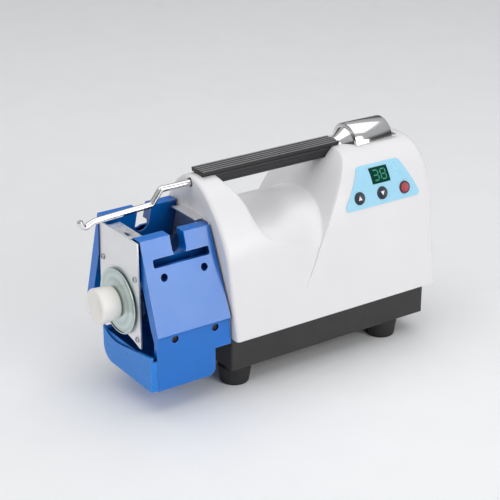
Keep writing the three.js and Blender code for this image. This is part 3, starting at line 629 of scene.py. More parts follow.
def housing_row(row):
    """One row of the outer skin from the head end to the tower end, as (x, y, z) on y > 0."""
    left_low = crossing(row, "envelope", left_edge, 10, 80)
    left_high = crossing(row, "drum", left_edge, 10, 80)
    right_high = crossing(row, "drum", right_edge, 74, 175)
    right_low = crossing(row, "envelope", right_edge, 74, 175)
    points = []
    for i in range(COLUMNS["end"]):
        angle = math.radians(90 * i / COLUMNS["end"])
        x = LEFT_ROUND * (1 - math.cos(angle))
        points.append((x, *inset_row(x, row, LEFT_ROUND * (1 - math.sin(angle)))))
    for t in eased(COLUMNS["left"], 1, 1.5)[:-1]:
        x = mix(LEFT_ROUND, left_low, t)
        points.append((x, *row_point(x, row, "envelope")))
    points += slope_points(row, left_low, left_high, COLUMNS["slope"])
    for t in eased(COLUMNS["drum"], 1.3, 1.5)[1:-1]:
        x = mix(left_high, right_high, t)
        points.append((x, *row_point(x, row, "drum")))
    points += slope_points(row, right_low, right_high, COLUMNS["flank"])[::-1]
    last = LENGTH - ROUNDING
    for t in eased(COLUMNS["tower"], 1.5, 1)[1:]:
        x = mix(right_low, last, t)
        points.append((x, *row_point(x, row, "envelope")))
    for i in range(1, COLUMNS["end"] + 1):
        angle = math.radians(90 * i / COLUMNS["end"])
        x = last + ROUNDING * math.sin(angle)
        z = row_point(last, row, "envelope")[1]
        inset = ROUNDING * (1 - math.cos(angle)) * mix(0.15, 1, z / TOWER_ARCH["top"])
        points.append((x, *inset_row(x, row, inset)))
    return [(x - END_LEAN * z * max(1 - x / 30, 0), y, z) for x, y, z in points]


def inset_row(x, row, inset):
    y, z = row_point(min(max(x, 0), LENGTH), row, "envelope")
    kind, value = row
    if kind == "z":
        return y - inset, z
    reach = math.hypot(y, z - DRUM["axis"]) - inset
    return reach * math.cos(value), DRUM["axis"] + reach * math.sin(value)


def slope_points(row, low, high, count):
    """Points down a slope of the hand opening, from the envelope to the drum."""
    outer = row_point(low, row, "envelope")
    inner = row_point(high, row, "drum")
    points = []
    for i in range(count + 1):
        t = i / count
        points.append((mix(low, high, t), mix(outer[0], inner[0], t), mix(outer[1], inner[1], t)))
    return points


def soften(grid):
    """Rounds the crest, the flank's edge and the valleys that run across the rows."""
    left_crest = COLUMNS["end"] + COLUMNS["left"]
    left_valley = left_crest + COLUMNS["slope"]
    right_valley = left_valley + COLUMNS["drum"]
    right_crest = right_valley + COLUMNS["flank"]
    columns = np.arange(grid.shape[1])
    reach = ((left_crest, 5.0), (left_valley, 9.0), (right_valley, 1.2), (right_crest, 1.1))
    weight = np.zeros(grid.shape[1])
    for column, width in reach:
        weight = np.maximum(weight, np.exp(-(((columns - column) / width) ** 2)))
    weight = weight[None, 1:-1, None]
    for _ in range(14):
        mean = (grid[:, :-2] + grid[:, 2:]) / 2
        grid[:, 1:-1] += weight * (mean - grid[:, 1:-1]) * 0.6
    return grid


def housing_rows():
    heights = [0, 3, 7, 10, 12, 14, 16, 18, 21, *np.linspace(24, DRUM["axis"] - 1, 26)]
    rows = [("z", float(z)) for z in heights]
    rows += [("angle", a) for a in np.linspace(0.0, math.pi / 2, 52)]
    return rows


def housing_skin():
    """The outer skin with its two end faces, open at the bottom edge."""
    near = soften(np.array([housing_row(row) for row in housing_rows()]))
    near[-1, :, 1] = 0.0
    mirrored = near[:-1] * np.array([1, -1, 1])
    grid = np.concatenate([mirrored, near[-1:], near[:-1][::-1]])
    rows, columns = grid.shape[:2]
    verts = [tuple(p) for p in grid.reshape(-1, 3)]
    faces = grid_quads(rows, columns)
    for column in (0, columns - 1):
        faces += end_face(verts, grid[:, column])
        start = len(verts) - rows
        edge = [r * columns + column for r in range(rows)]
        faces += [(edge[r], edge[r + 1], start + r + 1, start + r) for r in range(rows - 1)]
    return verts, faces


def end_face(verts, edge):
    """Adds a ring just inside an end's edge and fills it, so that the end stays flat."""
    start = len(verts)
    middle = np.array([edge[:, 0].mean(), 0.0, 60.0])
    for x, y, z in edge:
        scale = 1 - 1.2 / max(math.hypot(y, z - middle[2]), 1)
        height = middle[2] + (z - middle[2]) * scale if z > 0.5 else z
        drift = -END_LEAN * (height - z) if x < 30 else 0
        verts.append((x + drift, y * scale, height))
    return [list(range(start, len(verts)))]


def panel_cutters():
    """The wells of the three keys and of the display."""
    cutters = []
    for index in (-1, 0, 1):
        well = rod("Z", BUTTON_RADIUS + WELL_GAP, -12, 8, (0, 0, 0))
        cutters.append(on_panel(well, PANEL, index * BUTTON_PITCH))
    half, reach = DISPLAY["width"] / 2 + WELL_GAP, DISPLAY["height"] / 2 + WELL_GAP
    cutters.append(on_panel(box(-half, half, -reach, reach, -12, 8), DISPLAY))
    return cutters


def end_opening(spot, half, reach):
    y, z = spot["y"], spot["z"]
    return box(245, 260, y - half, y + half, z - reach, z + reach)


def housing():
    verts, faces = housing_skin()
    shell = new_object("housing", verts, faces, WHITE, 50)
    wall = shell.modifiers.new("wall", "SOLIDIFY")
    wall.thickness = (WALL - 0.6) * MM
    wall.offset = -1
    finish_modifiers(shell, 50)
    cutters = [
        prism(rounded_rect(-8.4, 8.4, 145.2, 190, 2.5), "YZ", 0.7, CHROME["start"] - 0.7),
        rod("X", 4.9, -20, 3, ARM_LINE),
        rod("X", 15, -12, 8, SPINDLE),
        end_opening(OUTLET, 13.8, 10.3),
        end_opening(ROCKER, 7.2, 11.2),
        *panel_cutters(),
    ]
    boolean(shell, cutters, angle=50)
    return hand_in(shell, "root", "white_shell", "housing_shell")


# ---------------------------------------------------------------- base and feet
def base_pan():
    outline = rounded_rect(0, PAN_LENGTH, -60, 60, 2.5)
    pan = prism(outline, "XY", -PAN_HEIGHT, -0.3, "pan", CHARCOAL)
    inside = (6.5, 243.5, -57.5, 57.5)
    pan = boolean(pan, [box(*inside, -34, 20)])
    neck = boolean(box(4.2, 247, -60, 60, -2, 1), [box(*inside, -5, 5)])
    flange = boolean(box(4.2, 247, -66.4, 66.4, 0.2, 3), [box(*inside, -5, 5)])
    pan = boolean(pan, [neck, flange], "UNION")
    slots = [
        prism(rounded_rect(60 + i * 12, 65 + i * 12, -22, 22, 2.4), "XY", -42, -30) for i in range(5)
    ]
    studs = [
        rod("Z", 2.3, -42, -30, (x, y, 0), 24) for x in FOOT_X for y in (-FOOT_Y, FOOT_Y)
    ]
    bevel(boolean(pan, slots + studs), 0.7, 2)
    return hand_in(pan, "root", "charcoal_pan", "base_pan")


def foot(name, x, y):
    profile = [
        (-31.8, 0.0), (-31.8, 1.6), (-32.2, 2.0), (-36.8, 2.0), (-36.8, 15.9),
        (-37.2, 16.8), (-38.0, 17.4), (-39.2, 17.5), (-55.2, 15.1), (-56.2, 14.8), (-56.8, 14.2),
        (-57.0, 13.4), (-57.0, 8.9), (-56.7, 8.4), (-53.2, 8.0), (-53.0, 7.7), (-53.0, 0.0),
    ]
    piece = lathe(profile, "Z", (x, y, 0), name, RUBBER, 72)
    return hand_in(piece, "root", "rubber", name.replace("_rubber", ""))


# ---------------------------------------------------------------- screws
def screw(name, place, facing, head, body, node, finish=STEEL):
    """A pan-head screw with a cross recess. facing is the way that its head points."""
    radius, height = head
    dome = arc(0, 0, 1, 0, 90, 8)
    profile = [(-3.6, 0.0), (-3.6, 1.3), (0.0, 1.3), (0.0, radius)]
    profile += [(0.25 * height + 0.75 * height * v, radius * u) for u, v in dome[:-1]]
    profile.append((height, 0.0))
    piece = lathe(profile, "Z", (0, 0, 0), name, finish, 32)
    arm = radius * 0.52
    slot, floor = 0.42, height * 0.35
    boolean(piece, [box(-arm, arm, -slot, slot, floor, 5), box(-slot, slot, -arm, arm, floor, 5)])
    turn = Vector((0, 0, 1)).rotation_difference(Vector(facing)).to_matrix().to_4x4()
    place = Matrix.Translation(ORIGIN + Vector(place) * MM)
    piece.data.transform(place @ turn @ Matrix.Translation(-ORIGIN))
    return hand_in(piece, body, "steel", node)


# ---------------------------------------------------------------- sample head
NEAR = {"side": -1, "front": -88, "top": 117.5, "top_y": 35.5, "bend_y": 65, "bottom": -32}
FAR = {"side": 1, "front": -93.5, "top": 125, "top_y": 37, "bend_y": 66, "bottom": 12}
SLIT = {"start": -78, "end": -14.5, "bottom": 90.5, "top": 99, "floor_inset": 2.0}
UPPER_HOLES = ((-69.0, 80.4), (-23.3, 80.4))
LOWER_HOLES = ((-67.3, 20.0), (-21.0, 20.0))
REAR_GAP = 2.3


def pocket_undercut(side, cover, lift):
    """The slit opens into a taller pocket behind its lip."""
    floor = cover["top_y"] - SLIT["floor_inset"]
    z0, z1 = SLIT["bottom"] + lift, SLIT["top"] + lift
    section = [
        (floor, z1), (floor, z0 - 7), (floor + 9, z0 - 7), (floor + 9, z0 - 4), (floor + 7, z0),
        (floor + 7, z1),
    ]
    return prism([(side * y, z) for y, z in section], "YZ", SLIT["start"] + 1, SLIT["end"] - 1)


def side_cover(name, cover, node):
    side, top, front = cover["side"], cover["top"], cover["front"]
    section = [
        (cover["top_y"], top), (cover["bend_y"], BEND_Z), (SKIRT_Y, 23), (SKIRT_Y, cover["bottom"]),
        (SKIRT_Y - 5, cover["bottom"]), (SKIRT_Y - 5, 19), (cover["bend_y"] - 13, BEND_Z + 4),
        (cover["top_y"] - 13, top),
    ]
    body = prism([(side * y, z) for y, z in section], "YZ", front, 0, name, BLUE)
    lift = top - NEAR["top"]
    inner, outer = sorted((side * 10, side * 80))
    rear = [(-END_LEAN * -60 - REAR_GAP, -60), (60, -60), (60, 140), (-END_LEAN * 140 - REAR_GAP, 140)]
    slit = rounded_rect(SLIT["start"], SLIT["end"], SLIT["bottom"] + lift, SLIT["top"] + lift, 2)
    mouth = [(NOTCH["x"] + NOTCH["half"], 150), (NOTCH["x"] - NOTCH["half"], 150)]
    mouth += arc(NOTCH["x"], NOTCH["bottom"], NOTCH["half"], 180, 360, 20)
    cutters = [
        prism(rear, "XZ", -90, 90),
        prism(mouth, "XZ", inner, outer),
        prism(slit, "XZ", *sorted((side * (cover["top_y"] - SLIT["floor_inset"]), side * 80))),
        pocket_undercut(side, cover, lift),
    ]
    for x, z in UPPER_HOLES:
        cutters.append(rod("Y", 3.9, *sorted((side * 42, side * 80)), (x, 0, z + lift)))
    for x, z in LOWER_HOLES:
        cutters.append(rod("Y", 1.8, inner, outer, (x, 0, z), 24))
        cutters.append(rod("Y", 3.9, *sorted((side * 60, side * 80)), (x, 0, z)))
    if side < 0:
        clear = [(10, -3), (10, -60), (-29, -60), *arc(-29, -24, 8, -90, 0), (-21, -3)]
        cutters.append(prism(clear, "XZ", -80, -40))
    else:
        cutters.append(prism(plate_outline(0.3), "YZ", -96, -90))
    boolean(body, cutters)
    bevel(body, 0.8, 3)
    return hand_in(body, "root", "blue_plastic", node)


FRONT_SCREWS = ((-31, 78), (31, 80), (-32.5, 14), (32.5, 14))
PLATE_HEAD = (3.0, 1.7)
COVER_HEAD = (3.4, 1.2)


def bowed(y0, z0, y1, z1, middle, steps=16):
    """Points from one corner to another along a quadratic bow."""
    points = []
    for i in range(steps + 1):
        t = i / steps
        a, b, c = (1 - t) ** 2, 2 * t * (1 - t), t * t
        points.append((a * y0 + b * middle[0] + c * y1, a * z0 + b * middle[1] + c * z1))
    return points


def plate_outline(outset):
    top, bottom = 117 + outset, 6 - outset
    bow = bowed(-35, bottom, 35, bottom, (0, 20))
    edge_top, edge_bottom = 36.5 + outset, 39 + outset
    return [(-edge_top, top), (-edge_bottom, bottom), *bow, (edge_bottom, bottom), (edge_top, top)]


def front_plate():
    plate = prism(plate_outline(0), "YZ", -92, -90.4, "front_sheet", SHEET)
    flange = box(-91.6, -77, -21.5, 21.5, 115.4, 117)
    boolean(plate, [flange], "UNION")
    cutters = [rod("X", 9, -100, -80, SPINDLE)]
    cutters += [rod("X", 1.8, -100, -80, (0, y, z), 24) for y, z in FRONT_SCREWS]
    cutters.append(prism(rounded_rect(-88.6, -85, -14, -4.5, 1.6), "XY", 110, 122))
    bevel(boolean(plate, cutters), 0.35, 2)
    return hand_in(plate, "root", "sheet_metal", "front_plate")


def rear_plate():
    def face(z):
        return -END_LEAN * z - 0.3

    outline = [(face(-2), -2), (face(119.6), 119.6), (face(119.6) - 1.6, 119.6), (face(-2) - 1.6, -2)]
    plate = prism(outline, "XZ", -33, 33, "rear_sheet", SHEET)
    boolean(plate, [box(-17, face(118) - 0.5, -20.5, 22.5, 118, 119.6)], "UNION")
    bevel(boolean(plate, [rod("X", 13.4, -20, 5, SPINDLE)]), 0.35, 2)
    return hand_in(plate, "root", "sheet_metal", "rear_plate")


def feed_funnel():
    def ring(x0, x1, y, z):
        return [(x0, -y, z), (x1, -y, z), (x1, y, z), (x0, y, z)]

    outer = ring(-71, -29, 12.6, 74.6) + ring(-88, -12, 23, 89)
    inner = ring(-69.4, -30.6, 11, 74.6) + ring(-86.4, -13.6, 21.4, 89)
    sides = [(i, (i + 1) % 4) for i in range(4)]
    faces = [(a, b, b + 4, a + 4) for a, b in sides]
    faces += [(a + 8, a + 12, b + 12, b + 8) for a, b in sides]
    faces += [(a + 4, b + 4, b + 12, a + 12) for a, b in sides]
    faces += [(a, a + 8, b + 8, b) for a, b in sides]
    funnel = new_object("funnel", outer + inner, faces, NAVY)
    boolean(funnel, [rod("X", 30.3, -95, 0, SPINDLE, 64)])
    bevel(funnel, 0.4, 2)
    return hand_in(funnel, "root", "navy_plastic", "feed_funnel")


def milling_barrel():
    profile = [
        (-82.5, 27), (-82.5, 29.6), (-82.1, 30), (-8, 30), (-8, 13.3), (-15, 13.3), (-15, 8),
        (-17, 8), (-17, 27), (-82.5, 27),
    ]
    barrel = lathe(profile, "X", SPINDLE, "barrel", STEEL, 64)
    cutters = [box(-70, -30, -13, 13, 54, 84), box(-72, -28, -14, 14, 4, 32)]
    boolean(barrel, cutters)
    return hand_in(barrel, "root", "steel", "milling_barrel")


def barrel_cap():
    profile = [
        (-90.1, 8), (-90.1, 28.4), (-89.5, 29), (-82.8, 29), (-82.8, 13.3), (-88.1, 13.3),
        (-88.1, 8), (-90.1, 8),
    ]
    cap = lathe(profile, "X", SPINDLE, "cap", STEEL, 64)
    return hand_in(cap, "root", "steel", "barrel_cap")


# ---------------------------------------------------------------- spindle pieces
def dished_disc():
    profile = [
        (-98.6, 6.4), (-98.6, 13.2), (-98.3, 14.6), (-96.9, 19), (-95.4, 24), (-94.6, 28),
        (-94.3, 30.6), (-94.6, 31.8), (-95.3, 32.6), (-95.6, 33.4), (-95.3, 33.9), (-94.9, 34),
        (-94.5, 33.8), (-93.6, 32.8), (-92.7, 31.4), (-92.9, 28), (-93.9, 24), (-95.6, 18.4),
        (-96.9, 13.9), (-97, 13), (-97, 6.4), (-98.6, 6.4),
    ]
    disc = lathe(profile, "X", SPINDLE, "disc", ZINC, 128, 60)
    return hand_in(disc, "spindle", "zinc", "dished_disc")


def hand_knob():
    shoulder = arc(-118.3, 16.3, 2.2, 180, 93, 8)
    profile = [(-120.1, 0.0), (-120.1, 11.4), (-120.5, 12.0), *shoulder]
    profile += [(-110, 18.0), (-101.6, 17.4), (-100.4, 17.0), (-99.4, 16.2), (-99, 15.2)]
    blank = lathe(profile, "X", SPINDLE, "knob", IVORY, 96, 40)
    knob = boolean(blank, [rod("X", 4.3, -118.8, -90, SPINDLE)], angle=40)
    return hand_in(knob, "spindle", "ivory_plastic", "hand_knob")


# ---------------------------------------------------------------- sample tray
TRAY = {"near": -54.0, "far": 31.0, "bottom": -30.5, "corner": 16.0, "wall": 2.5, "back": -34.0}
TRAY_FRONT = -95.6
RIM = [(31, 5.5), (22, 0), (6, -3.3), (-25, 0.8), (-62.5, 6.8)]


def tray_section(near, inset, top):
    far, bottom = TRAY["far"] - inset, TRAY["bottom"] + inset
    corner = TRAY["corner"] - inset
    section = [(near, top), (near, bottom)]
    return section + arc(far - corner, bottom + corner, corner, -90, 0, 12) + [(far, top)]


def sample_tray():
    front = tray_section(-SKIRT_Y, 0, 0)[1:-1] + spline(RIM)
    tray = prism(front, "YZ", TRAY_FRONT, TRAY_FRONT + 3, "tray", LIT_TRAY_BLUE)
    near, back = TRAY["near"], TRAY["back"]
    walls = prism(tray_section(near, 0, 1.5), "YZ", TRAY_FRONT + 2, back)
    wall = TRAY["wall"]
    inside = prism(tray_section(near + wall, wall, 20), "YZ", TRAY_FRONT + 3, back - wall)
    boolean(walls, [inside])
    side = box(TRAY_FRONT, -88.3, -SKIRT_Y, -SKIRT_Y + 3, TRAY["bottom"], 1.5)
    near_lip = box(TRAY_FRONT + 2, back, near - 2.6, near + 1, 0, 1.5)
    far_lip = box(TRAY_FRONT + 2, back, TRAY["far"] - 1, TRAY["far"] + 4, 0, 1.5)
    boolean(tray, [walls, side, near_lip, far_lip], "UNION")
    bevel(tray, 0.7, 3)
    return hand_in(tray, "tray", "blue_plastic", "sample_tray")


# ---------------------------------------------------------------- handle and arm
def handle_grip():
    ribs, half, top, depth = 5, 11.5, 162.2, 1.2
    pitch = 2 * half / ribs
    section = [(-half + 1.5, 157.8), (half - 1.5, 157.8)]
    for i in range(ribs):
        y = half - i * pitch
        section += [(y - 0.7, top - depth), (y - 1.1, top - 0.3), (y - 1.5, top)]
        section += [(y - pitch + 1.5, top), (y - pitch + 1.1, top - 0.3), (y - pitch + 0.7, top - depth)]
    grip = prism(section, "YZ", 0, 168, "grip", GRIP_BLACK)
    bevel(grip, 0.22, 2, 50)
    # Painted highlight: the upward faces at the rib tops take the lighter grey.
    grip.data.materials.append(RIB_HIGHLIGHT)
    for polygon in grip.data.polygons:
        if polygon.normal.z > 0.3 and (polygon.center.z - ORIGIN.z) / MM > top - 0.4:
            polygon.material_index = 1
    return hand_in(grip, "root", "black_plastic", "handle_grip")


def handle_core():
    core = prism(rounded_rect(-8, 8, 145.5, 157.5, 2.5), "YZ", 1, 168, "core", GRIP_BLACK)
    grooves = [
        box(20, 150, y - 0.35, y + 0.35, z, z + 0.9) for y in (-8, 8) for z in (149, 153)
    ]
    boolean(core, [rod("X", ARM_RADIUS + 0.3, -5, 175, ARM_LINE), *grooves])
    return hand_in(core, "root", "black_plastic", "handle_core")


def swing_arm():
    """A rod bent to an S, with a crank over the head and a finger hook."""
    bends = [
        (180, ARM_Z), (60, ARM_Z), (-20, ARM_Z), (-34, ARM_Z), (-39, ARM_Z), (-43, ARM_Z - 1.2),
        (-52.5, CRANK_Z + 1.2), (-57, CRANK_Z), (-84, CRANK_Z - 1.2), (-113, CRANK_Z - 2.6),
        (-119, CRANK_Z - 3.8), (-126, CRANK_Z - 6.4), (-130, CRANK_Z - 4.4), (-132.7, CRANK_Z + 0.5),
    ]
    path = spline(bends, 8)
    sides = 28
    rings = []
    for i, (x, z) in enumerate(path):
        before, after = path[max(i - 1, 0)], path[min(i + 1, len(path) - 1)]
        along = Vector((after[0] - before[0], after[1] - before[1])).normalized()
        across = Vector((-along.y, along.x))
        scale = 0.86 if i in (0, len(path) - 1) else 1.0
        ring = []
        for j in range(sides):
            a = 2 * math.pi * j / sides
            reach = ARM_RADIUS * scale * math.cos(a)
            ring.append((x + across.x * reach, ARM_RADIUS * scale * math.sin(a), z + across.y * reach))
        rings.append(ring)
    verts, quads, ends = joined_rings(rings)
    arm = new_object("arm_rod", verts, ends + quads, CHROMED, 50)
    return hand_in(arm, "arm", "chrome", "swing_arm")


def arm_bush():
    profile = [(0.7, 3.5), (0.7, 4.6), (-5.9, 4.6), (-6.5, 4.1), (-6.5, 3.5), (0.7, 3.5)]
    bush = lathe(profile, "X", ARM_LINE, "bush", BLACK, 48)
    return hand_in(bush, "root", "black_plastic", "arm_bush")


# ---------------------------------------------------------------- chromed cover
def envelope_block(outset, low, high, floor):
    """A solid of the housing's envelope between two places, for trimming what sits on it."""
    heights = np.linspace(floor, TOWER_ARCH["top"] - 0.4, 60)
    stations = np.linspace(low, high, 30)
    rings = []
    for x in stations:
        side = [(x, envelope_half(x, z) + outset, z + outset * smooth(100, 150, z)) for z in heights]
        rings.append([(x, -y, z) for x, y, z in side] + side[::-1])
    verts, quads, ends = joined_rings(rings)
    return new_object("envelope", verts, ends + quads)


def housing_trim(low, high):
    """What the housing fills beside a chromed piece, and all that lies below the piece."""
    return [envelope_block(0.35, low, high, 95), box(100, 260, -80, 80, 90, 156)]


def chrome_cover():
    axis, radius, sheet = CHROME["axis"], CHROME["radius"], CHROME["sheet"]
    start, end = CHROME["start"], CHROME["end"]
    edge = 0.8
    rim = [(start, radius - edge), (start + 0.25, radius - 0.25), (start + edge, radius)]
    rim += [(end - edge, radius), (end - 0.25, radius - 0.25), (end, radius - edge)]
    hollow = rod("X", radius - sheet, start + sheet, end - sheet, (0, 0, axis), 128)
    outer = lathe(rim, "X", (0, 0, axis), "chrome_dome", CHROMED, 128, 40)
    boolean(outer, [hollow], angle=40)
    lip = box(end - 1, 237, -radius + 1, radius - 1, 157, 159.2)
    boolean(outer, [lip], "UNION", 40)
    boolean(outer, housing_trim(160, 250), angle=40)
    return hand_in(outer, "root", "chrome", "chrome_cover")


def chrome_neck():
    profile = [
        (168.4, 6), (168.4, 8.4), (168.8, 9), (170.4, 9.4), (173, 10.6), (178, 13.8), (182.4, 17.1),
        (183, 17), (183, 14.5), (177, 10.2), (171.5, 6), (168.4, 6),
    ]
    neck = lathe(profile, "X", (0, 0, CHROME["axis"]), "neck", CHROMED, 96, 45)
    boolean(neck, housing_trim(150, 200), angle=45)
    return hand_in(neck, "root", "chrome", "chrome_neck")


# ---------------------------------------------------------------- control panel
def label_outline():
    left, right, bottom, top = 139.4, 236, 104.6, 143.6
    outline = arc(left + 4.2, bottom + 4, 4, 150, 270)
    outline += arc(right - 4.4, bottom + 4, 4, 270, 388)
    outline += arc(215.6, top - 5, 5, 28, 90)
    outline += arc(167, top - 5, 5, 90, 150)
    return outline


def control_label():
    outer_gap, inner_gap = 0.75, 0.3
    places = np.linspace(136, 240, 72)
    heights = np.linspace(100, 148, 40)
    sheets = []
    for spare in (outer_gap, inner_gap):
        sheets.append([[(x, -(envelope_half(x, z) + spare), z) for x in places] for z in heights])
    grid = np.array(sheets)
    rows, columns = len(heights), len(places)
    verts = [tuple(p) for p in grid.reshape(-1, 3)]
    layer = rows * columns
    faces = []
    for a, b, c, d in grid_quads(rows, columns):
        faces.append((a, b, c, d))
        faces.append((layer + a, layer + d, layer + c, layer + b))
    border = list(range(columns))
    border += [r * columns + columns - 1 for r in range(1, rows)]
    border += [(rows - 1) * columns + c for c in range(columns - 2, -1, -1)]
    border += [r * columns for r in range(rows - 2, 0, -1)]
    for a, b in zip(border, border[1:] + border[:1]):
        faces.append((a, layer + a, layer + b, b))
    film = new_object("label", verts, faces, LABEL, 50)
    boolean(film, [prism(label_outline(), "XZ", -80, -20)], "INTERSECT", 50)
    boolean(film, panel_cutters(), angle=50)
    return hand_in(film, "root", "label_film", "control_label")


def key(name, body, index, material, slot, marks):
    radius = BUTTON_RADIUS
    profile = [
        (-9, 0.0), (-9, 2.6), (-3, 2.6), (-3, radius), (1.0, radius), (1.5, radius - 0.12),
        (1.85, radius - 0.45), (1.95, radius - 0.9), (1.8, radius - 1.3), (1.8, 0.0),
    ]
    cap = lathe(profile, "Z", (0, 0, 0), name + "_cap", material, 64, 30)
    on_panel(cap, PANEL, index * BUTTON_PITCH)
    hand_in(cap, body, slot, name)
    if marks:
        mark = prism(marks, "XY", 1.6, 1.95, name + "_mark", KEY_WHITE)
        bevel(mark, 0.1, 2)
        on_panel(mark, PANEL, index * BUTTON_PITCH)
        hand_in(mark, body, slot)
    return cap


def key_ring(name, body, index):
    """A dark ring round the red key's face."""
    profile = [(1.2, 4.9), (1.2, 6.45), (1.9, 6.35), (2.05, 6.2), (2.05, 5.1), (1.2, 4.9)]
    ring = lathe(profile, "Z", (0, 0, 0), name + "_ring", KEY_BLACK, 64, 30)
    on_panel(ring, PANEL, index * BUTTON_PITCH)
    return hand_in(ring, body, "button_black")


SEGMENT_SETS = {"3": "abgcd", "8": "abcdefg"}


def digit(character, centre, width, height):
    """The lit bars of a seven-segment digit as thin hexagonal prisms."""
    half, reach, thick = width / 2, height / 2, 0.55
    level = {"a": height, "g": reach, "d": 0.0}
    upright = {"f": (-half, reach), "b": (half, reach), "e": (-half, 0.0), "c": (half, 0.0)}
    bars = []
    for bar in SEGMENT_SETS[character]:
        if bar in level:
            z = level[bar] - reach
            u0, u1 = centre - half + 0.5, centre + half - 0.5
            outline = [
                (u0, z), (u0 + thick, z - thick), (u1 - thick, z - thick), (u1, z),
                (u1 - thick, z + thick), (u0 + thick, z + thick),
            ]
        else:
            u, base = upright[bar]
            u, v0, v1 = centre + u, base - reach + 0.5, base - 0.5
            outline = [
                (u, v0), (u + thick, v0 + thick), (u + thick, v1 - thick), (u, v1),
                (u - thick, v1 - thick), (u - thick, v0 + thick),
            ]
        bars.append(prism(outline, "XY", 0.75, 0.95))
    return bars


def display_window():
    half_width, half_height = DISPLAY["width"] / 2, DISPLAY["height"] / 2
    outline = rounded_rect(-half_width, half_width, -half_height, half_height, 1)
    window = prism(outline, "XY", -1.5, 0.8, "window", WINDOW)
    bevel(window, 0.25, 2)
    on_panel(window, DISPLAY)
    hand_in(window, "root", "display_glass", "display_window")
    bars = digit("3", -5.0, 6.4, 10.8) + digit("8", 4.6, 6.4, 10.8)
    digits = merged("digits", bars, SEGMENT)
    on_panel(digits, DISPLAY)
    hand_in(digits, "root", "display_glass")


# ---------------------------------------------------------------- power inlet and switch
def power_inlet():
    y, z, face = OUTLET["y"], OUTLET["z"], OUTLET["face"]
    half, reach = OUTLET["width"] / 2, OUTLET["height"] / 2
    outline = rounded_rect(y - half, y + half, z - reach, z + reach, 2.5)
    flange = prism(outline, "YZ", face - 1.3, face, "inlet", BLACK)
    wide, tall = OUTLET_BODY
    body = box(226, face - 1, y - wide, y + wide, z - tall, z + tall)
    boolean(flange, [body], "UNION")
    mouth = [(y - 12, z - 8), (y + 12, z - 8), (y + 12, z + 4), (y + 8, z + 8), (y - 8, z + 8)]
    mouth.append((y - 12, z + 4))
    boolean(flange, [prism(mouth, "YZ", 236, face + 5)])
    bevel(flange, 0.5, 2)
    hand_in(flange, "root", "black_plastic", "power_inlet")
    pins = [
        box(234, face - 4, y + dy - 1, y + dy + 1, z + dz - 2, z + dz + 2)
        for dy, dz in ((-7, -1.5), (0, 2.5), (7, -1.5))
    ]
    blades = merged("inlet_pins", pins, STEEL)
    bevel(blades, 0.4, 2)
    hand_in(blades, "root", "steel")


def rocker_frame():
    y, z, face = ROCKER["y"], ROCKER["z"], OUTLET["face"]
    outline = rounded_rect(y - 8, y + 8, z - 13, z + 13, 1.5)
    flange = prism(outline, "YZ", face - 1.3, face, "switch_frame", BLACK)
    boolean(flange, [box(238, face - 1, y - 6.9, y + 6.9, z - 10.9, z + 10.9)], "UNION")
    boolean(flange, [box(241, face + 5, y - 5.7, y + 5.7, z - 9.9, z + 9.9)])
    bevel(flange, 0.4, 2)
    return hand_in(flange, "root", "black_plastic", "power_switch_frame")


def rocker_paddle():
    """Drawn level about its pivot, then tipped to where it rests."""
    top = bowed(4.6, -8.8, 4.6, 8.8, (1.4, 0))
    outline = [(-5, -5), *top, (-5, 5)]
    paddle = prism(outline, "XZ", -5.2, 5.2, "rocker", BLACK)
    bevel(paddle, 0.4, 2)
    turn = Matrix.Rotation(math.radians(ROCKER["tilt"]), 4, "Y")
    place = Vector((ROCKER["pivot"], ROCKER["y"], ROCKER["z"])) * MM
    paddle.data.transform(Matrix.Translation(ORIGIN + place) @ turn @ Matrix.Translation(-ORIGIN))
    return hand_in(paddle, "rocker", "black_plastic", "power_rocker")


# ---------------------------------------------------------------- carried-over CAD nodes
INNER_FINISH = {
    "spindle_shaft": STEEL, "abrasive_roller": DARK_STEEL_AND_PAINTED_SHADE, "front_bearing": STEEL,
    "rear_bearing": STEEL, "coupling": STEEL, "motor_can": DARK_STEEL_AND_PAINTED_SHADE, "motor_front_bell": STEEL,
    "motor_rear_bell": STEEL, "motor_stator": COPPER, "motor_rotor": STEEL, "motor_fan": BLACK,
    "motor_cradle": CHARCOAL, "tray_rail_near": STEEL, "tray_rail_far": STEEL, "arm_collar": STEEL,
    "button_up_switch": KEY_BLACK, "button_down_switch": KEY_BLACK, "button_start_switch": KEY_BLACK,
    "display_module": BLACK, "control_board": CIRCUIT, "power_board": CIRCUIT, "transformer": COPPER,
}


def finish_inner_nodes():
    """The working parts inside keep their CAD shape, with eased edges and a real finish."""
    for name, material in INNER_FINISH.items():
        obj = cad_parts[name]
        obj.data.materials.clear()
        obj.data.materials.append(material)
        weld = obj.modifiers.new("weld", "WELD")
        weld.merge_threshold = 1e-6
        edges = obj.modifiers.new("eased_edges", "BEVEL")
        edges.width = 0.2 * MM
        edges.segments = 2
        edges.limit_method = "ANGLE"
        edges.angle_limit = math.radians(40)


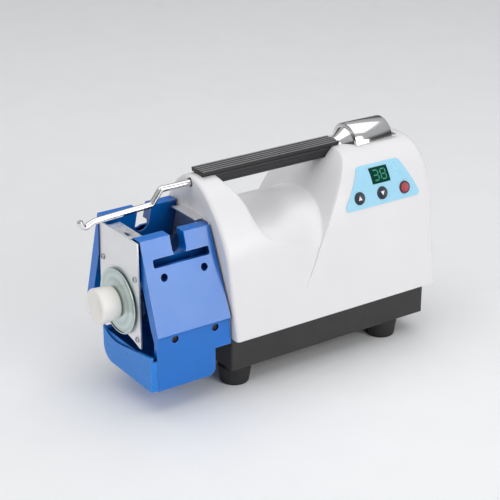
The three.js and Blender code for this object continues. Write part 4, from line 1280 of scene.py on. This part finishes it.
# ---------------------------------------------------------------- studio
def studio():
    scene = bpy.context.scene
    scene.view_settings.view_transform = "Standard"
    scene.view_settings.look = "None"
    world = bpy.data.worlds.new("studio")
    world.use_nodes = True
    background = world.node_tree.nodes["Background"]
    background.inputs["Strength"].default_value = 0.55
    ramp = add_node(world, "ShaderNodeValToRGB")
    stops = ((0.0, 0.5), (0.5, 0.3), (0.56, 0.1), (0.62, 0.14), (0.7, 0.85), (1.0, 1.0))
    while len(ramp.color_ramp.elements) < len(stops):
        ramp.color_ramp.elements.new(0.5)
    for element, (place, level) in zip(ramp.color_ramp.elements, stops):
        element.position = place
        element.color = (level * 0.96, level * 0.98, level, 1)
    height = add_node(world, "ShaderNodeSeparateXYZ")
    link(world, add_node(world, "ShaderNodeTexCoord").outputs["Generated"], height.inputs["Vector"])
    link(world, remap(world, height.outputs["Z"], 0, 1, -1, 1), ramp.inputs["Fac"])
    link(world, ramp.outputs["Color"], background.inputs["Color"])
    scene.world = world
    floor_material = moulded("floor", (0.87, 0.87, 0.875), 0.6, 60.0, 0.02, 0.01)
    size = 6.0
    corners = [(-size, -size), (size, -size), (size, size), (-size, size)]
    mesh = bpy.data.meshes.new("floor")
    mesh.from_pydata([(x, y, -0.0002) for x, y in corners], [], [(0, 1, 2, 3)])
    mesh.materials.append(floor_material)
    floor = bpy.data.objects.new("floor", mesh)
    scene.collection.objects.link(floor)


def area_light(name, place, aim, size, power):
    light = bpy.data.lights.new(name, "AREA")
    light.shape = "RECTANGLE"
    light.size, light.size_y = size
    light.energy = power
    obj = bpy.data.objects.new(name, light)
    obj.location = place
    obj.rotation_mode = "QUATERNION"
    obj.rotation_quaternion = (Vector(aim) - Vector(place)).to_track_quat("-Z", "Y")
    bpy.context.scene.collection.objects.link(obj)


def lights():
    middle = (0.0, 0.0, 0.1)
    area_light("sheen", (0.68, -1.78, 0.4), middle, (0.7, 0.5), 6.8)
    area_light("front", (0.25, -1.9, 1.1), middle, (1.2, 0.9), 11)
    area_light("left_fill", (-1.9, -0.3, 0.7), middle, (1.0, 1.0), 7.5)
    area_light("overhead", (0.1, 0.25, 2.1), middle, (3.6, 2.4), 25)


CAMERA_PLACE = (-0.8005, -1.1764, 0.7350)
CAMERA_LENS = 107.9


def camera():
    data = bpy.data.cameras.new("camera")
    data.sensor_width = 36
    data.lens = CAMERA_LENS
    data.clip_start, data.clip_end = 0.05, 50
    obj = bpy.data.objects.new("camera", data)
    right = Vector((0.8260, -0.5637, 0.0))
    up = Vector((0.2243, 0.3288, 0.9174))
    back = right.cross(up)
    turn = Matrix((right, up, back)).transposed().to_4x4()
    obj.matrix_world = Matrix.Translation(CAMERA_PLACE) @ turn
    bpy.context.scene.collection.objects.link(obj)
    bpy.context.scene.camera = obj


# ---------------------------------------------------------------- assembly
camera()
studio()
lights()
housing()
base_pan()
for end, foot_x in zip(("head", "tower"), FOOT_X):
    for side, foot_y in (("near", -FOOT_Y), ("far", FOOT_Y)):
        foot(f"foot_{end}_{side}_rubber", foot_x, foot_y)

side_cover("cover_near", NEAR, "near_cover")
side_cover("cover_far", FAR, "far_cover")
front_plate()
rear_plate()
feed_funnel()
milling_barrel()
barrel_cap()
for index, (y, z) in enumerate(FRONT_SCREWS, 1):
    node = f"front_plate_screw_{index}"
    screw(f"plate_screw_{index}", (-92.3, y, z), (-1, 0, 0), PLATE_HEAD, "root", node)
# Painted shade: the cover pins take the dark steel, so that their heads read as the shade of deep holes.
for side, word in ((-1, "near"), (1, "far")):
    for index, (x, z) in enumerate(LOWER_HOLES, 1):
        node = f"{word}_cover_screw_{index}"
        place, facing = (x, side * 60.3, z), (0, side, 0)
        screw(f"{word}_cover_pin_{index}", place, facing, COVER_HEAD, "root", node, DARK_STEEL_AND_PAINTED_SHADE)

dished_disc()
hand_knob()
sample_tray()
handle_grip()
handle_core()
swing_arm()
arm_bush()
chrome_cover()
chrome_neck()
control_label()
key("button_up", "up_key", -1, KEY_BLACK, "button_black", [(-2.4, -1.9), (2.4, -1.9), (0, 2.6)])
key("button_down", "down_key", 0, KEY_BLACK, "button_black", [(-2.4, 1.9), (0, -2.6), (2.4, 1.9)])
key("button_start", "start_key", 1, KEY_RED, "button_red", None)
key_ring("button_start", "start_key", 1)
display_window()
power_inlet()
rocker_frame()
rocker_paddle()
finish_inner_nodes()
